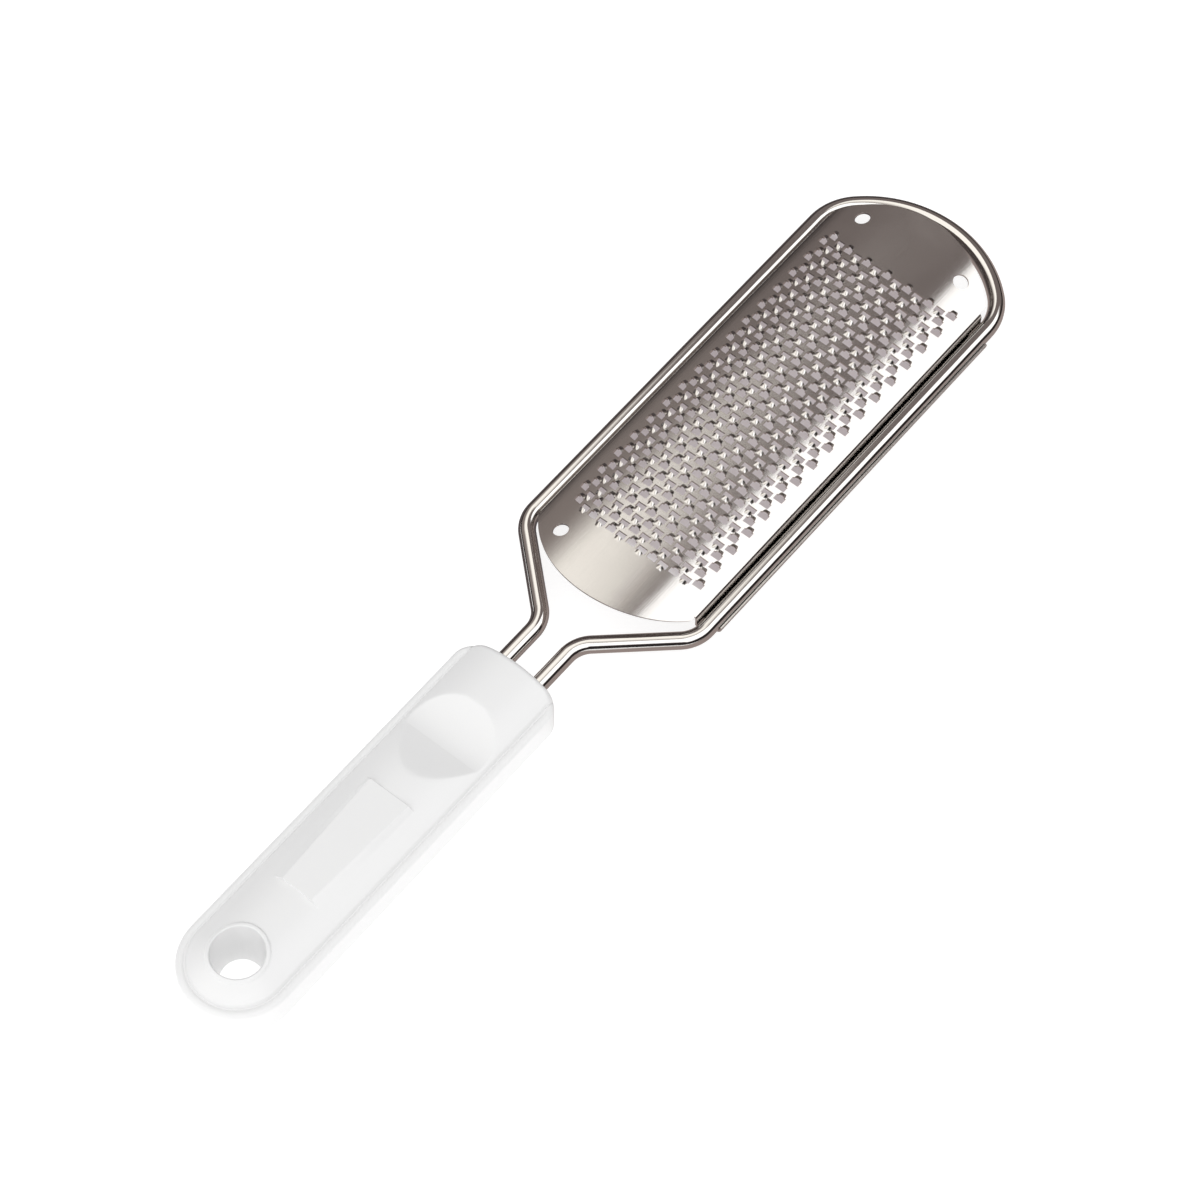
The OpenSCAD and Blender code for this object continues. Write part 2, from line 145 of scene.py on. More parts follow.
class BodySizes(bpy.types.PropertyGroup):
    """Sizes of the handle's lower moulding."""

    handle_w: length("Width", "Width of the handle", BODY_HIGH[1] - BODY_LOW[1])
    rim_z: length("Rim height", "Height of the rim over the base", BODY_HIGH[2] - BODY_LOW[2])
    rim_w: length("Rim width", "Width of the rim round the cover", 1.95 * MM)
    front_r: length("Corner radius", "Radius of the two front corners", 5 * MM)
    base_round: length("Base rounding", "Rounding of the edge round the base", 2.5 * MM)
    rim_round: length("Rim rounding", "Rounding of the rim's outer edge", 1.1 * MM)
    seam_round: length("Seam rounding", "Rounding of the edges beside the seam", 0.7 * MM)
    seam_depth: length("Seam depth", "Depth of the seam under the rim", 0.28 * MM)
    seam_gap: length("Seam", "Gap between the rim and the cover", 0.12 * MM)
    tail_gap: length("Tail gap", "Gap between the wire and the holes for its tails", 0.1 * MM)
    hang_d: length("Hanging hole", "Diameter of the hanging hole at the base", 9.4 * MM)


class CoverSizes(bpy.types.PropertyGroup):
    """Sizes of the handle's upper moulding."""

    top: length("Crown height", "Height of the crown over the base", 13.5 * MM)
    crown_r: length("Crown radius", "Radius of the crown across the cover", 18 * MM)
    front_round: length("Front rounding", "Rounding of the cover's front edge", 1.2 * MM)
    hang_d: length("Hanging hole", "Diameter of the hanging hole at the top", 11.8 * MM)
    hang_draft: length("Hole's draft", "How far the hole's wall runs in over each moulding", 0.6 * MM)
    ring_w: length("Ring width", "Width of the ring round the hanging hole", 1.1 * MM)
    ring_rise: length("Ring height", "Height of the ring over the crown", 0.35 * MM)
    pad_x: length("Pad place", "From the handle's rear end to the pad's middle", 46.75 * MM)
    pad_l: length("Pad length", "Length of the bare label pad", 29.6 * MM)
    pad_w: length("Pad width", "Width of the pad at its foot", 12.8 * MM)
    pad_rear_face_w: length("Pad face, rear", "Width of the pad's face at its rear", 8.1 * MM)
    pad_front_face_w: length("Pad face, front", "Width of the pad's face at its front", 10.8 * MM)
    pad_rise: length("Pad height", "Height of the pad's face over the crown", 0.15 * MM)
    dish_x: length("Dish place", "From the handle's rear end to the dish", 68.1 * MM)
    dish_rear_l: length("Dish rear", "Length of the dish's sloping rear face", 9.9 * MM)
    dish_front_l: length("Dish front", "Length of the dish's hollow front face", 11.9 * MM)
    dish_low_l: length("Dish low", "From the crease to the hollow's lowest line", 2.5 * MM)
    dish_depth: length("Dish depth", "Depth of the dish under the crown", 3.15 * MM)


class Finishes(bpy.types.PropertyGroup):
    """Colours and gloss of the three finishes."""

    plate_steel: colour("Plate", "Colour of the plate's steel", (0.62, 0.60, 0.58))
    wire_steel: colour("Wire", "Colour of the wire's steel", (0.66, 0.64, 0.62))
    handle_white: colour("Handle", "Colour of the moulded handle", (0.86, 0.86, 0.86))
    plate_roughness: fraction("Plate roughness", "Roughness of the plate's steel", 0.13)
    wire_roughness: fraction("Wire roughness", "Roughness of the wire's steel", 0.07)
    handle_roughness: fraction("Handle roughness", "Roughness of the handle", 0.34)


class StudioSizes(bpy.types.PropertyGroup):
    """The camera's place and the light."""

    azimuth: angle("Azimuth", "Turn of the view, clockwise seen from above, from along +Y", 50.736)
    elevation: angle("Elevation", "Height of the view over the horizon", 59.001)
    distance: length("Distance", "From the camera to the tool", 947.674 * MM)
    aim: bpy.props.FloatVectorProperty(
        name="Aim", description="Place in the picture's middle: to the right, up, and over the base",
        default=(1.116 * MM, -0.962 * MM, 6 * MM), size=3, unit="LENGTH",
    )
    lens: bpy.props.FloatProperty(name="Lens", description="Focal length in mm", default=129.9)
    floor_l: length("Floor", "Side of the floor", 8.0)
    room_light: bpy.props.FloatProperty(
        name="Room light", description="Strength of the soft light", default=1.0, min=0
    )


# distance under which two corners count as one
SAME_PLACE = 1e-8
# scale at which outlines are filled, and the distance there under which two points count as one
FILL_SCALE = 1000
FILL_TOLERANCE = 1e-4


class Skin:
    """Corners, faces and shading directions of one piece, gathered patch by patch."""

    def __init__(self):
        self.corners = []
        self.directions = []
        self.faces = []

    def add(self, corners, directions, faces):
        """Adds a patch. Each face is turned to look the way its corners are shaded."""
        first = len(self.corners)
        corners = [Vector(c) for c in corners]
        directions = [Vector(d).normalized() for d in directions]
        for face in faces:
            loop = []
            for k in face:
                if all((corners[k] - corners[j]).length > SAME_PLACE for j in loop):
                    loop.append(k)
            if len(loop) < 3:
                continue
            if len(loop) == 4:
                turn = (corners[loop[2]] - corners[loop[0]]).cross(corners[loop[3]] - corners[loop[1]])
            else:
                turn = (corners[loop[1]] - corners[loop[0]]).cross(corners[loop[2]] - corners[loop[0]])
            lean = sum((directions[k] for k in loop), Vector((0, 0, 0)))
            if turn.dot(lean) < 0:
                loop.reverse()
            self.faces.append([first + k for k in loop])
        self.corners += corners
        self.directions += directions

    def add_rows(self, rows, directions, closed=False):
        """Adds a skin between rows of corners that all have the same count."""
        count = len(rows[0])
        wraps = count if closed else count - 1
        faces = []
        for r in range(len(rows) - 1):
            for k in range(wraps):
                after = (k + 1) % count
                faces.append((r * count + k, r * count + after, (r + 1) * count + after, (r + 1) * count + k))
        self.add([c for row in rows for c in row], [d for row in directions for d in row], faces)

    def mirrored(self):
        """The same skin on the other side of the tool's middle."""
        other = Skin()
        other.add(
            [(c[0], -c[1], c[2]) for c in self.corners],
            [(d[0], -d[1], d[2]) for d in self.directions],
            self.faces,
        )
        return other

    def join(self, other):
        """Takes in all of another skin."""
        first = len(self.corners)
        self.corners += other.corners
        self.directions += other.directions
        self.faces += [[first + k for k in face] for face in other.faces]

    def make(self, name, material, slot, node):
        """Makes the piece, which stands for a node of the frame."""
        mesh = bpy.data.meshes.new(name)
        mesh.from_pydata(self.corners, [], self.faces)
        mesh.polygons.foreach_set("use_smooth", [True] * len(mesh.polygons))
        mesh.normals_split_custom_set_from_vertices(self.directions)
        mesh.materials.append(material)
        piece = bpy.data.objects.new(name, mesh)
        bpy.context.scene.collection.objects.link(piece)
        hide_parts(node)
        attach(piece, "root")
        return piece


def tiled(outline, holes, loose):
    """Triangles that fill an outline less its holes and use loose points inside it.

    Outlines run counterclockwise. Returns the points and the triangles, in the units given.
    """
    points = [Vector(p) * FILL_SCALE for p in outline]
    loops = [list(range(len(points)))]
    for hole in holes:
        loops.append(list(range(len(points), len(points) + len(hole))))
        points += [Vector(p) * FILL_SCALE for p in hole]
    points += [Vector(p) * FILL_SCALE for p in loose]
    made, _, faces, _, _, owners = delaunay_2d_cdt(points, [], loops, 0, FILL_TOLERANCE)
    kept = [face for face, owner in zip(faces, owners) if list(owner) == [0]]
    used = sorted({k for face in kept for k in face})
    place = {k: i for i, k in enumerate(used)}
    return [made[k] / FILL_SCALE for k in used], [[place[k] for k in face] for face in kept]


def spread(start, end, count):
    """Evenly spaced numbers from start to end, both included."""
    return [start + (end - start) * i / (count - 1) for i in range(count)]


def arc(centre, radius, start, end, count):
    """Points on an arc in the plane, with the directions out of it, from angle to angle in radians."""
    points, outward = [], []
    for turn in spread(start, end, count):
        outward.append((math.cos(turn), math.sin(turn)))
        points.append((centre[0] + radius * math.cos(turn), centre[1] + radius * math.sin(turn)))
    return points, outward


# points of the plate's outline on each side, round the tip and round the rear end
PLATE_SIDE_POINTS = 41
PLATE_TIP_POINTS = 49
PLATE_REAR_POINTS = 57
# how far inside its edges the plate's loose points stay, and how many there are along it and round it
PLATE_MARGIN = 1 * MM
LOOSE_ALONG = 52
LOOSE_AROUND = 22
# profiles of a bare edge and of a small hole's wall: shares of the sheet's depth, and how far the shading
# tilts up there
EDGE_PROFILE = ((0.0, 1.0), (-0.3, 0.0), (-0.7, 0.0), (-1.0, -1.0))
HOLE_PROFILE = ((0.0, 0.6), (-0.25, 0.0), (-0.75, 0.0), (-1.0, -0.6))
# profile of the lip's bare edge: share of the way across it, and shading outward and up
LIP_PROFILE = ((0, -1, 0.5), (0.3, 0, 1), (0.7, 0, 1), (1, 1, 0.5))
# points round a small hole, round the hem's fold, round its roll and along it
HOLE_POINTS = 41
FOLD_POINTS = 9
ROLL_POINTS = 29
HEM_POINTS = 13


class Crown:
    """The rolled surface of the plate: a place along it and round it becomes a place in space."""

    def __init__(self, plate, wire):
        self.radius = plate.crown_r
        self.low = plate.top - plate.crown_r
        self.rear = PLATE_LOW[0]
        self.tip = PLATE_HIGH[0]
        wall_y = wire.loop_w / 2 - wire.wire_d / 2 - plate.hem_gap
        self.wall_y = wall_y
        self.fold_y = wall_y - plate.fold_r
        self.fold_z = self.low + math.sqrt((plate.crown_r - plate.fold_r) ** 2 - self.fold_y**2)
        self.fold_turn = math.atan2(self.fold_z - self.low, self.fold_y)
        self.side = plate.crown_r * (math.pi / 2 - self.fold_turn)

    def point(self, along, around, up=0.0):
        turn = around / self.radius
        reach = self.radius + up
        return (along, reach * math.sin(turn), self.low + reach * math.cos(turn))

    def direction(self, around, run, side, up):
        """A direction given along the tool, round the crown and out of it, at a place round it."""
        turn = around / self.radius
        return (
            run,
            side * math.cos(turn) + up * math.sin(turn),
            up * math.cos(turn) - side * math.sin(turn),
        )

    def around(self, y):
        """How far round the crown a distance from the middle line lies."""
        return self.radius * math.asin(y / self.radius)


def tooth_places(crown, teeth):
    """Along, around, facing and lean of each tooth. Rows come in pairs that cut forward or backward.

    The field's columns bow like the plate's ends, and each tooth leans partly the way its column runs.
    """
    half = (teeth.rows - 1) / 2
    for row in range(teeth.rows):
        from_middle = row - half
        share = abs(from_middle) / half
        side = math.copysign(1, from_middle)
        bow = teeth.bow_left if side > 0 else teeth.bow_right
        ahead = row % 2
        facing = -1 if ((teeth.rows - 1 - row) // 2) % 2 else 1
        start = crown.rear + teeth.field_inset + ahead * teeth.pitch / 2 + bow * share**3
        skew = teeth.lean * side * 3 * bow * share**2 / (half * teeth.row_pitch)
        for i in range(teeth.row_teeth - ahead):
            yield start + i * teeth.pitch, from_middle * teeth.row_pitch, facing, skew


# faces of a hood from its cutting edge to its foot, and round its arch
HOOD_STEPS = 3
HOOD_SIDES = 12
# least share of up in a hood's shading, for its flanks
HOOD_UP = 0.02
# share of its width that a hood loses towards its foot
HOOD_TAPER = 0.3
# shape of a hood's arch: 1 is a tent and 2 a half circle
ARCH = 1.6


def arched(share, power=2 / ARCH):
    """A cosine or sine raised to a power with its sign kept, which turns an arc into the arch."""
    return math.copysign(abs(share) ** power, share) if abs(share) > 1e-9 else 0.0


def hood_foot(teeth, half_w, hood_l):
    """Outline of a window and the foot of its hood, counterclockwise, for a tooth that faces forward."""
    x0, x1, y = -teeth.window_l / 2, teeth.window_l / 2, teeth.window_w / 2
    left = [(x1 + run, v) for run, v in hood_side(half_w, hood_l)]
    right = [(x, -v) for x, v in left]
    return [(x0, -y), (x1, -y)] + right + left[::-1] + [(x1, y), (x0, y)]


def hood_side(half_w, hood_l):
    """The left foot of a hood: distances behind the cutting edge and from the tooth's middle."""
    return [(hood_l * t, half_w * (1 - HOOD_TAPER * t * t)) for t in spread(0, 1, HOOD_STEPS + 1)]


def tooth_outline(outline, along, around, facing, skew):
    """A tooth's outline at its place, kept counterclockwise when the tooth faces backward."""
    placed = [(along + facing * u + skew * v, around + v) for u, v in outline]
    return placed if facing > 0 else placed[::-1]


def tooth_skin(crown, plate, teeth, along, around, facing, skew):
    """The hollow hood of a tooth and the sides of the window in front of it."""
    skin = Skin()
    x0, x1, half = -teeth.window_l / 2, teeth.window_l / 2, teeth.window_w / 2
    out_w, out_l, out_h = teeth.hood_w / 2, teeth.hood_l, teeth.hood_h
    wall = teeth.hood_wall
    in_w, in_l, in_h = out_w - wall, out_l - wall, out_h - wall
    low = -plate.sheet

    def put(u, v, up):
        return crown.point(along + facing * u + skew * v, around + v, up)

    def lean(v, du, dv, up):
        return crown.direction(around + v, facing * du, dv - skew * facing * du, up)

    def dome(half_w, run, rise, sign):
        rows, directions = [], []
        for ahead, reach in hood_side(half_w, run):
            high = rise * (1 - ahead / run)
            narrowing = 2 * HOOD_TAPER * half_w * ahead / run
            row, shade = [], []
            for k in spread(0, math.pi, HOOD_SIDES + 1):
                c, s = arched(math.cos(k)), arched(math.sin(k))
                row.append(put(x1 + ahead, reach * c, high * s))
                flank, crest = arched(c, ARCH - 1), arched(s, ARCH - 1)
                du = (flank * c * narrowing * high / reach + crest * s * rise) / run
                dv = flank * high / reach
                shade.append(lean(reach * c, sign * du, sign * dv, sign * (crest + HOOD_UP)))
            rows.append(row)
            directions.append(shade)
        skin.add_rows(rows, directions)

    dome(out_w, out_l, out_h, 1)
    dome(in_w, in_l, in_h, -1)

    # cutting edge: the bare end of the pressed-up sheet
    turns = spread(0, math.pi, HOOD_SIDES + 1)
    outer = [put(x1, out_w * arched(math.cos(k)), out_h * arched(math.sin(k))) for k in turns]
    inner = [put(x1, in_w * arched(math.cos(k)), in_h * arched(math.sin(k))) for k in turns]
    ahead = [lean(0, -1, 0, 0)] * len(turns)
    skin.add_rows([outer, inner], [ahead, ahead])

    # throat under the hood, down through the sheet
    left = [(x1 + run, v) for run, v in hood_side(in_w, in_l)]
    right = [(u, -v) for u, v in left]
    for edge, du, dv in ((left, 0, -1), (right, 0, 1), ([right[-1], left[-1]], -1, 0)):
        inward = [lean(v, du, dv, 0) for _, v in edge]
        skin.add_rows([[put(u, v, 0) for u, v in edge], [put(u, v, low) for u, v in edge]], [inward, inward])

    # the window's sides
    sides = [
        ((x1, -in_w), (x1, -half), (-1, 0)),
        ((x1, -half), (x0, -half), (0, 1)),
        ((x0, -half), (x0, half), (1, 0)),
        ((x0, half), (x1, half), (0, -1)),
        ((x1, half), (x1, in_w), (-1, 0)),
    ]
    for a, b, (du, dv) in sides:
        rows = [[put(*a, 0), put(*b, 0)], [put(*a, low), put(*b, low)]]
        shade = [lean(a[1], du, dv, 0), lean(b[1], du, dv, 0)]
        skin.add_rows(rows, [shade, shade])
    return skin


def plate_outline(crown, plate):
    """Outline of the crown, counterclockwise from the rear of its right side, as places along and round it.

    Returns it with the counts of its right side, tip and left side. The rear end is the rest.
    """
    side_y = crown.radius * math.cos(crown.fold_turn)
    rear = (crown.rear + plate.rear_r, 0)
    front = (crown.tip - plate.front_r, 0)
    rear_turn = math.asin(side_y / plate.rear_r)
    front_turn = math.asin(side_y / plate.front_r)
    tip, _ = arc(front, plate.front_r, -front_turn, front_turn, PLATE_TIP_POINTS)
    back, _ = arc(rear, plate.rear_r, math.pi - rear_turn, math.pi + rear_turn, PLATE_REAR_POINTS)
    hem0 = crown.rear + plate.hem_inset
    hem1 = hem0 + plate.hem_l
    right = [(x, -side_y) for x in spread(hem0, hem1, PLATE_SIDE_POINTS)]
    left = [(x, side_y) for x in spread(hem1, hem0, PLATE_SIDE_POINTS)]
    plan = right + tip + left + back
    shape = [(x, crown.around(max(-side_y, min(side_y, y)))) for x, y in plan]
    return shape, len(right), len(tip), len(left)


def free_edge(crown, plate, run):
    """The bare edge of the sheet along a run of places, softened where it meets the two faces."""
    outward = []
    for k in range(len(run)):
        a, b = run[max(k - 1, 0)], run[min(k + 1, len(run) - 1)]
        step = Vector((b[0] - a[0], b[1] - a[1])).normalized()
        outward.append((step[1], -step[0]))
    rows, directions = [], []
    for up, tilt in EDGE_PROFILE:
        rows.append([crown.point(x, s, up * plate.sheet) for x, s in run])
        directions.append(
            [crown.direction(s, o[0], o[1], tilt) for (x, s), o in zip(run, outward)]
        )
    skin = Skin()
    skin.add_rows(rows, directions)
    return skin


def round_hole(crown, plate, x, y):
    """A small hole's outline on the crown and the skin of its wall."""
    plan, outward = arc((x, y), plate.hole_d / 2, 0, 2 * math.pi, HOLE_POINTS)
    places = [(px, crown.around(py)) for px, py in plan]
    skin = Skin()
    rows, directions = [], []
    for up, tilt in HOLE_PROFILE:
        rows.append([crown.point(px, s, up * plate.sheet) for px, s in places])
        directions.append(
            [crown.direction(s, -o[0], -o[1], tilt) for (px, s), o in zip(places, outward)]
        )
    skin.add_rows(rows, directions)
    return places[:-1], skin


def hem_skin(crown, plate, wire, roll_end, lip_rise):
    """A hem, as on the left: fold, wall, roll under the wire as far as roll_end from level, and lip."""
    skin = Skin()
    sheet = plate.sheet
    hem0 = crown.rear + plate.hem_inset
    hem1 = hem0 + plate.hem_l
    roll0 = hem0 + plate.lip_rear_trim
    roll1 = hem1 - plate.lip_front_trim
    fold = []
    for turn in spread(crown.fold_turn, 0, FOLD_POINTS):
        n = (math.cos(turn), math.sin(turn))
        fold.append((
            (crown.fold_y + plate.fold_r * n[0], crown.fold_z + plate.fold_r * n[1]),
            (crown.fold_y + (plate.fold_r - sheet) * n[0], crown.fold_z + (plate.fold_r - sheet) * n[1]),
            n,
        ))
    fold.append(((crown.wall_y, wire.wire_z), (crown.wall_y - sheet, wire.wire_z), (1, 0)))
    roll = []
    inner_r = wire.wire_d / 2 + plate.hem_gap
    middle = (wire.loop_w / 2, wire.wire_z)
    for turn in spread(math.pi, 2 * math.pi + roll_end, ROLL_POINTS):
        n = (math.cos(turn), math.sin(turn))
        roll.append((
            (middle[0] + inner_r * n[0], middle[1] + inner_r * n[1]),
            (middle[0] + (inner_r + sheet) * n[0], middle[1] + (inner_r + sheet) * n[1]),
            (-n[0], -n[1]),
        ))
    if lip_rise > 0:
        lip_z = wire.wire_z + lip_rise
        roll.append((
            (middle[0] + inner_r, lip_z), (middle[0] + inner_r + sheet, lip_z), (-1, 0),
        ))

    def sweep(profile, x0, x1):
        for side, sign in ((0, 1), (1, -1)):
            rows = [[(x, p[side][0], p[side][1]) for p in profile] for x in spread(x0, x1, HEM_POINTS)]
            shade = [(0, sign * p[2][0], sign * p[2][1]) for p in profile]
            skin.add_rows(rows, [shade] * len(rows))
        for x, look in ((x0, -1), (x1, 1)):
            rows = [[(x, p[side][0], p[side][1]) for p in profile] for side in (0, 1)]
            shade = [(look, 0, 0)] * len(profile)
            skin.add_rows(rows, [shade, shade])

    sweep(fold, hem0, hem1)
    sweep(roll, roll0, roll1)
    for x0, x1 in ((hem0, roll0), (roll1, hem1)):
        rows = [[(x, y, wire.wire_z) for y in (crown.wall_y - sheet, crown.wall_y)] for x in (x0, x1)]
        skin.add_rows(rows, [[(0, 0, -1)] * 2] * 2)
    (y0, z0), (y1, z1), _ = roll[-1]
    rows = [
        [(x, y0 + (y1 - y0) * share, z0 + (z1 - z0) * share) for share, _, _ in LIP_PROFILE]
        for x in (roll0, roll1)
    ]
    skin.add_rows(rows, [[(0, side, up) for _, side, up in LIP_PROFILE]] * 2)
    return skin


def rasp_plate_skin(scene):
    """The whole plate: both faces of the crown, its edges and holes, the teeth and the two hems."""
    plate, teeth, wire = scene.foot_file_plate, scene.foot_file_teeth, scene.foot_file_wire
    crown = Crown(plate, wire)
    skin = Skin()
    outline, n_right, n_tip, n_left = plate_outline(crown, plate)
    first_tip = n_right - 1
    first_left = n_right + n_tip
    tip_run = outline[first_tip:first_left + 1]
    back_run = outline[first_left + n_left - 1:] + outline[:1]
    skin.join(free_edge(crown, plate, tip_run))
    skin.join(free_edge(crown, plate, back_run))

    holes = []
    front_x = crown.tip - plate.front_hole_inset
    rear_x = crown.rear + plate.rear_hole_inset
    for x, y in ((front_x, plate.hole_y), (front_x, -plate.hole_y), (rear_x, plate.hole_y)):
        places, wall = round_hole(crown, plate, x, y)
        holes.append(places)
        skin.join(wall)

    places = list(tooth_places(crown, teeth))
    for place in places:
        skin.join(tooth_skin(crown, plate, teeth, *place))

    loose = [
        (x, s)
        for x in spread(crown.rear + PLATE_MARGIN, crown.tip - PLATE_MARGIN, LOOSE_ALONG)
        for s in spread(-crown.side + PLATE_MARGIN, crown.side - PLATE_MARGIN, LOOSE_AROUND)
    ]
    # both faces of the crown, cut by the windows and by the feet of the hoods
    for up, look, half_w, hood_l in (
        (0, 1, teeth.hood_w / 2, teeth.hood_l),
        (-plate.sheet, -1, teeth.hood_w / 2 - teeth.hood_wall, teeth.hood_l - teeth.hood_wall),
    ):
        foot = hood_foot(teeth, half_w, hood_l)
        cuts = [tooth_outline(foot, *place) for place in places]
        flat, faces = tiled(outline, holes + cuts, loose)
        skin.add(
            [crown.point(x, s, up) for x, s in flat],
            [crown.direction(s, 0, 0, look) for _, s in flat],
            faces,
        )
    skin.join(hem_skin(crown, plate, wire, -plate.left_roll_short, 0))
    skin.join(hem_skin(crown, plate, wire, 0, plate.lip_rise).mirrored())
    return skin


# the wire's steps along its straight stretches and round its bends, and its faces all round
WIRE_STEP = 6 * MM
WIRE_STEP_DEGREES = 3
WIRE_SIDES = 48


def wire_path(wire):
    """Places and headings on the wire's middle line, from the left tail to the right one."""
    turn = math.atan2((wire.loop_w - wire.tail_w) / 2, wire.shoulder_l)
    slope = math.hypot((wire.loop_w - wire.tail_w) / 2, wire.shoulder_l)
    neck_cut = wire.neck_r * math.tan(turn / 2)
    shoulder_cut = wire.shoulder_r * math.tan(turn / 2)
    neck_x = wire.neck_l
    shoulder_x = neck_x + wire.shoulder_l
    tip_x = WIRE_HIGH[0] - BODY_HIGH[0] - wire.wire_d / 2 - wire.tip_r
    corner_y = wire.loop_w / 2 - wire.corner_r
    corner_x = tip_x + math.sqrt((wire.tip_r - wire.corner_r) ** 2 - corner_y**2)
    corner_turn = math.atan2(corner_x - tip_x, corner_y)
    half = [
        (wire.tail_in_l + neck_x - neck_cut, wire.neck_r, turn),
        (slope - neck_cut - shoulder_cut, wire.shoulder_r, -turn),
        (corner_x - shoulder_x - shoulder_cut, wire.corner_r, -corner_turn),
    ]
    back = [(half[2][0], wire.shoulder_r, -turn), (half[1][0], wire.neck_r, turn), (half[0][0], 0, 0)]
    stretches = half + [(0, wire.tip_r, 2 * corner_turn - math.pi), (0, wire.corner_r, -corner_turn)] + back
    place = Vector((BODY_HIGH[0] - wire.tail_in_l, wire.tail_w / 2))
    heading = 0.0
    line = [(place.copy(), heading)]
    for straight, radius, bend in stretches:
        if straight > 0:
            steps = max(1, round(straight / WIRE_STEP))
            for _ in range(steps):
                place = place + Vector((math.cos(heading), math.sin(heading))) * straight / steps
                line.append((place.copy(), heading))
        if bend:
            side = math.copysign(1, bend)
            centre = place + Vector((-math.sin(heading), math.cos(heading))) * side * radius
            steps = max(6, round(abs(math.degrees(bend)) / WIRE_STEP_DEGREES))
            for i in range(1, steps + 1):
                at = heading + bend * i / steps
                line.append((centre - Vector((-math.sin(at), math.cos(at))) * side * radius, at))
            heading += bend
            place = line[-1][0]
    return line


def wire_skin(scene):
    """The round wire, swept along its middle line."""
    wire = scene.foot_file_wire
    radius = wire.wire_d / 2
    skin = Skin()
    rows, directions = [], []
    for place, heading in wire_path(wire):
        left = Vector((-math.sin(heading), math.cos(heading), 0))
        shade = []
        for k in range(WIRE_SIDES):
            turn = 2 * math.pi * k / WIRE_SIDES
            shade.append(left * math.cos(turn) + Vector((0, 0, math.sin(turn))))
        middle = Vector((place[0], place[1], wire.wire_z))
        rows.append([middle + d * radius for d in shade])
        directions.append(shade)
    skin.add_rows(rows, directions, closed=True)
    for row in (rows[0], rows[-1]):
        skin.add(row, [(-1, 0, 0)] * WIRE_SIDES, [list(range(WIRE_SIDES))])
    return skin


# points of each moulding: across its front face, along a side, round its rear end and round its hole
BODY_FRONT_POINTS = 9
BODY_SIDE_POINTS = 41
BODY_REAR_POINTS = 33
BODY_HOLE_POINTS = 65
COVER_FRONT_POINTS = 25
COVER_SIDE_POINTS = 121
COVER_REAR_POINTS = 81
COVER_HOLE_POINTS = 81
# points round a front corner of either
CORNER_POINTS = 9
# points round each half of a hole for a tail, and how deep the hole's wall is drawn
NOTCH_POINTS = 17
NOTCH_DEPTH = 2.5 * MM
# softening of the hanging hole's two mouths, and how far up its drafted wall looks
LOW_MOUTH_SOFT = 0.4 * MM
TOP_MOUTH_SOFT = 0.35 * MM
DRAFT_LEAN = 0.08
# how far the seam's floor reaches under the rim and beyond it
SEAM_UNDER = 0.4 * MM
SEAM_BEYOND = 0.9 * MM
# the seam's floor at a front corner: places ahead of the corner's middle, and drops under the floor
SEAM_CORNER = (
    (-0.8 * MM, 0), (0.4 * MM, -0.14 * MM), (2.6 * MM, -0.2 * MM), (3.3 * MM, 0.1 * MM), (3.8 * MM, 1.2 * MM),
)
# widths over which the edges of the pad's face, the pad's foot and the dish are rounded
PAD_EDGE_SOFT = 0.04 * MM
PAD_FOOT_SOFT = 0.05 * MM
DISH_SOFT = 0.07 * MM
# fall of the pad's two end faces for each unit of length
PAD_END_SLOPE = 6
# how far beyond its ends the dish is still blended in
DISH_MARGIN = 3 * MM
# share of its radius at which the dish's arc stops falling, well beyond the crown
ARC_LIMIT = 0.97
# the ring's outer slope: how far beyond the ring's width it ends, and its own width
RING_BEYOND = 0.12 * MM
RING_SLOPE_W = 0.45 * MM
# step over which the top's slope is measured
SLOPE_STEP = 0.01 * MM
# distances of the loose points beside the edges of dish and pad, and beside the pad's two ends
NEAR = (-0.3 * MM, -0.1 * MM, -0.02 * MM, 0.02 * MM, 0.1 * MM, 0.3 * MM)
NEAR_END = (
    -0.3 * MM, -0.15 * MM, -0.05 * MM, 0, 0.05 * MM, 0.1 * MM, 0.15 * MM, 0.25 * MM, 0.4 * MM,
)
# half widths over which the loose points follow the dish's crease and the pad's ends
CREASE_REACH = 10.2 * MM
PAD_END_REACH = 6.6 * MM
# distances from the hanging hole's wall to the rings of loose points
RING_POINTS = [reach * MM for reach in (0.6, 0.75, 0.9, 1.0, 1.1, 1.2, 1.35, 1.6)]


class Plan:
    """The handle's outline seen from above, and its outlines inset from it."""

    def __init__(self, body):
        self.half = body.handle_w / 2
        self.rear = BODY_LOW[0]
        self.front = BODY_HIGH[0]
        self.hang = (self.rear + self.half, 0)
        self.corner_r = body.front_r
        self.corner_x = self.front - body.front_r
        self.corner_y = self.half - body.front_r

    def horseshoe(self, inset, end_y):
        """Front corners, sides and rear end, inset, from the left corner round to the right one.

        end_y is the distance from the middle line at which the corners stop.
        """
        radius = self.corner_r - inset
        start = math.asin(min(1.0, (end_y - self.corner_y) / radius))
        points, outward = arc((self.corner_x, self.corner_y), radius, start, math.pi / 2, CORNER_POINTS)
        for x in spread(self.corner_x, self.hang[0], BODY_SIDE_POINTS)[1:-1]:
            points.append((x, self.half - inset))
            outward.append((0, 1))
        back, back_out = arc(self.hang, self.half - inset, math.pi / 2, math.pi, BODY_REAR_POINTS)
        points += back
        outward += back_out
        right = [(x, -y) for x, y in reversed(points[:-1])]
        right_out = [(x, -y) for x, y in reversed(outward[:-1])]
        return points + right, outward + right_out


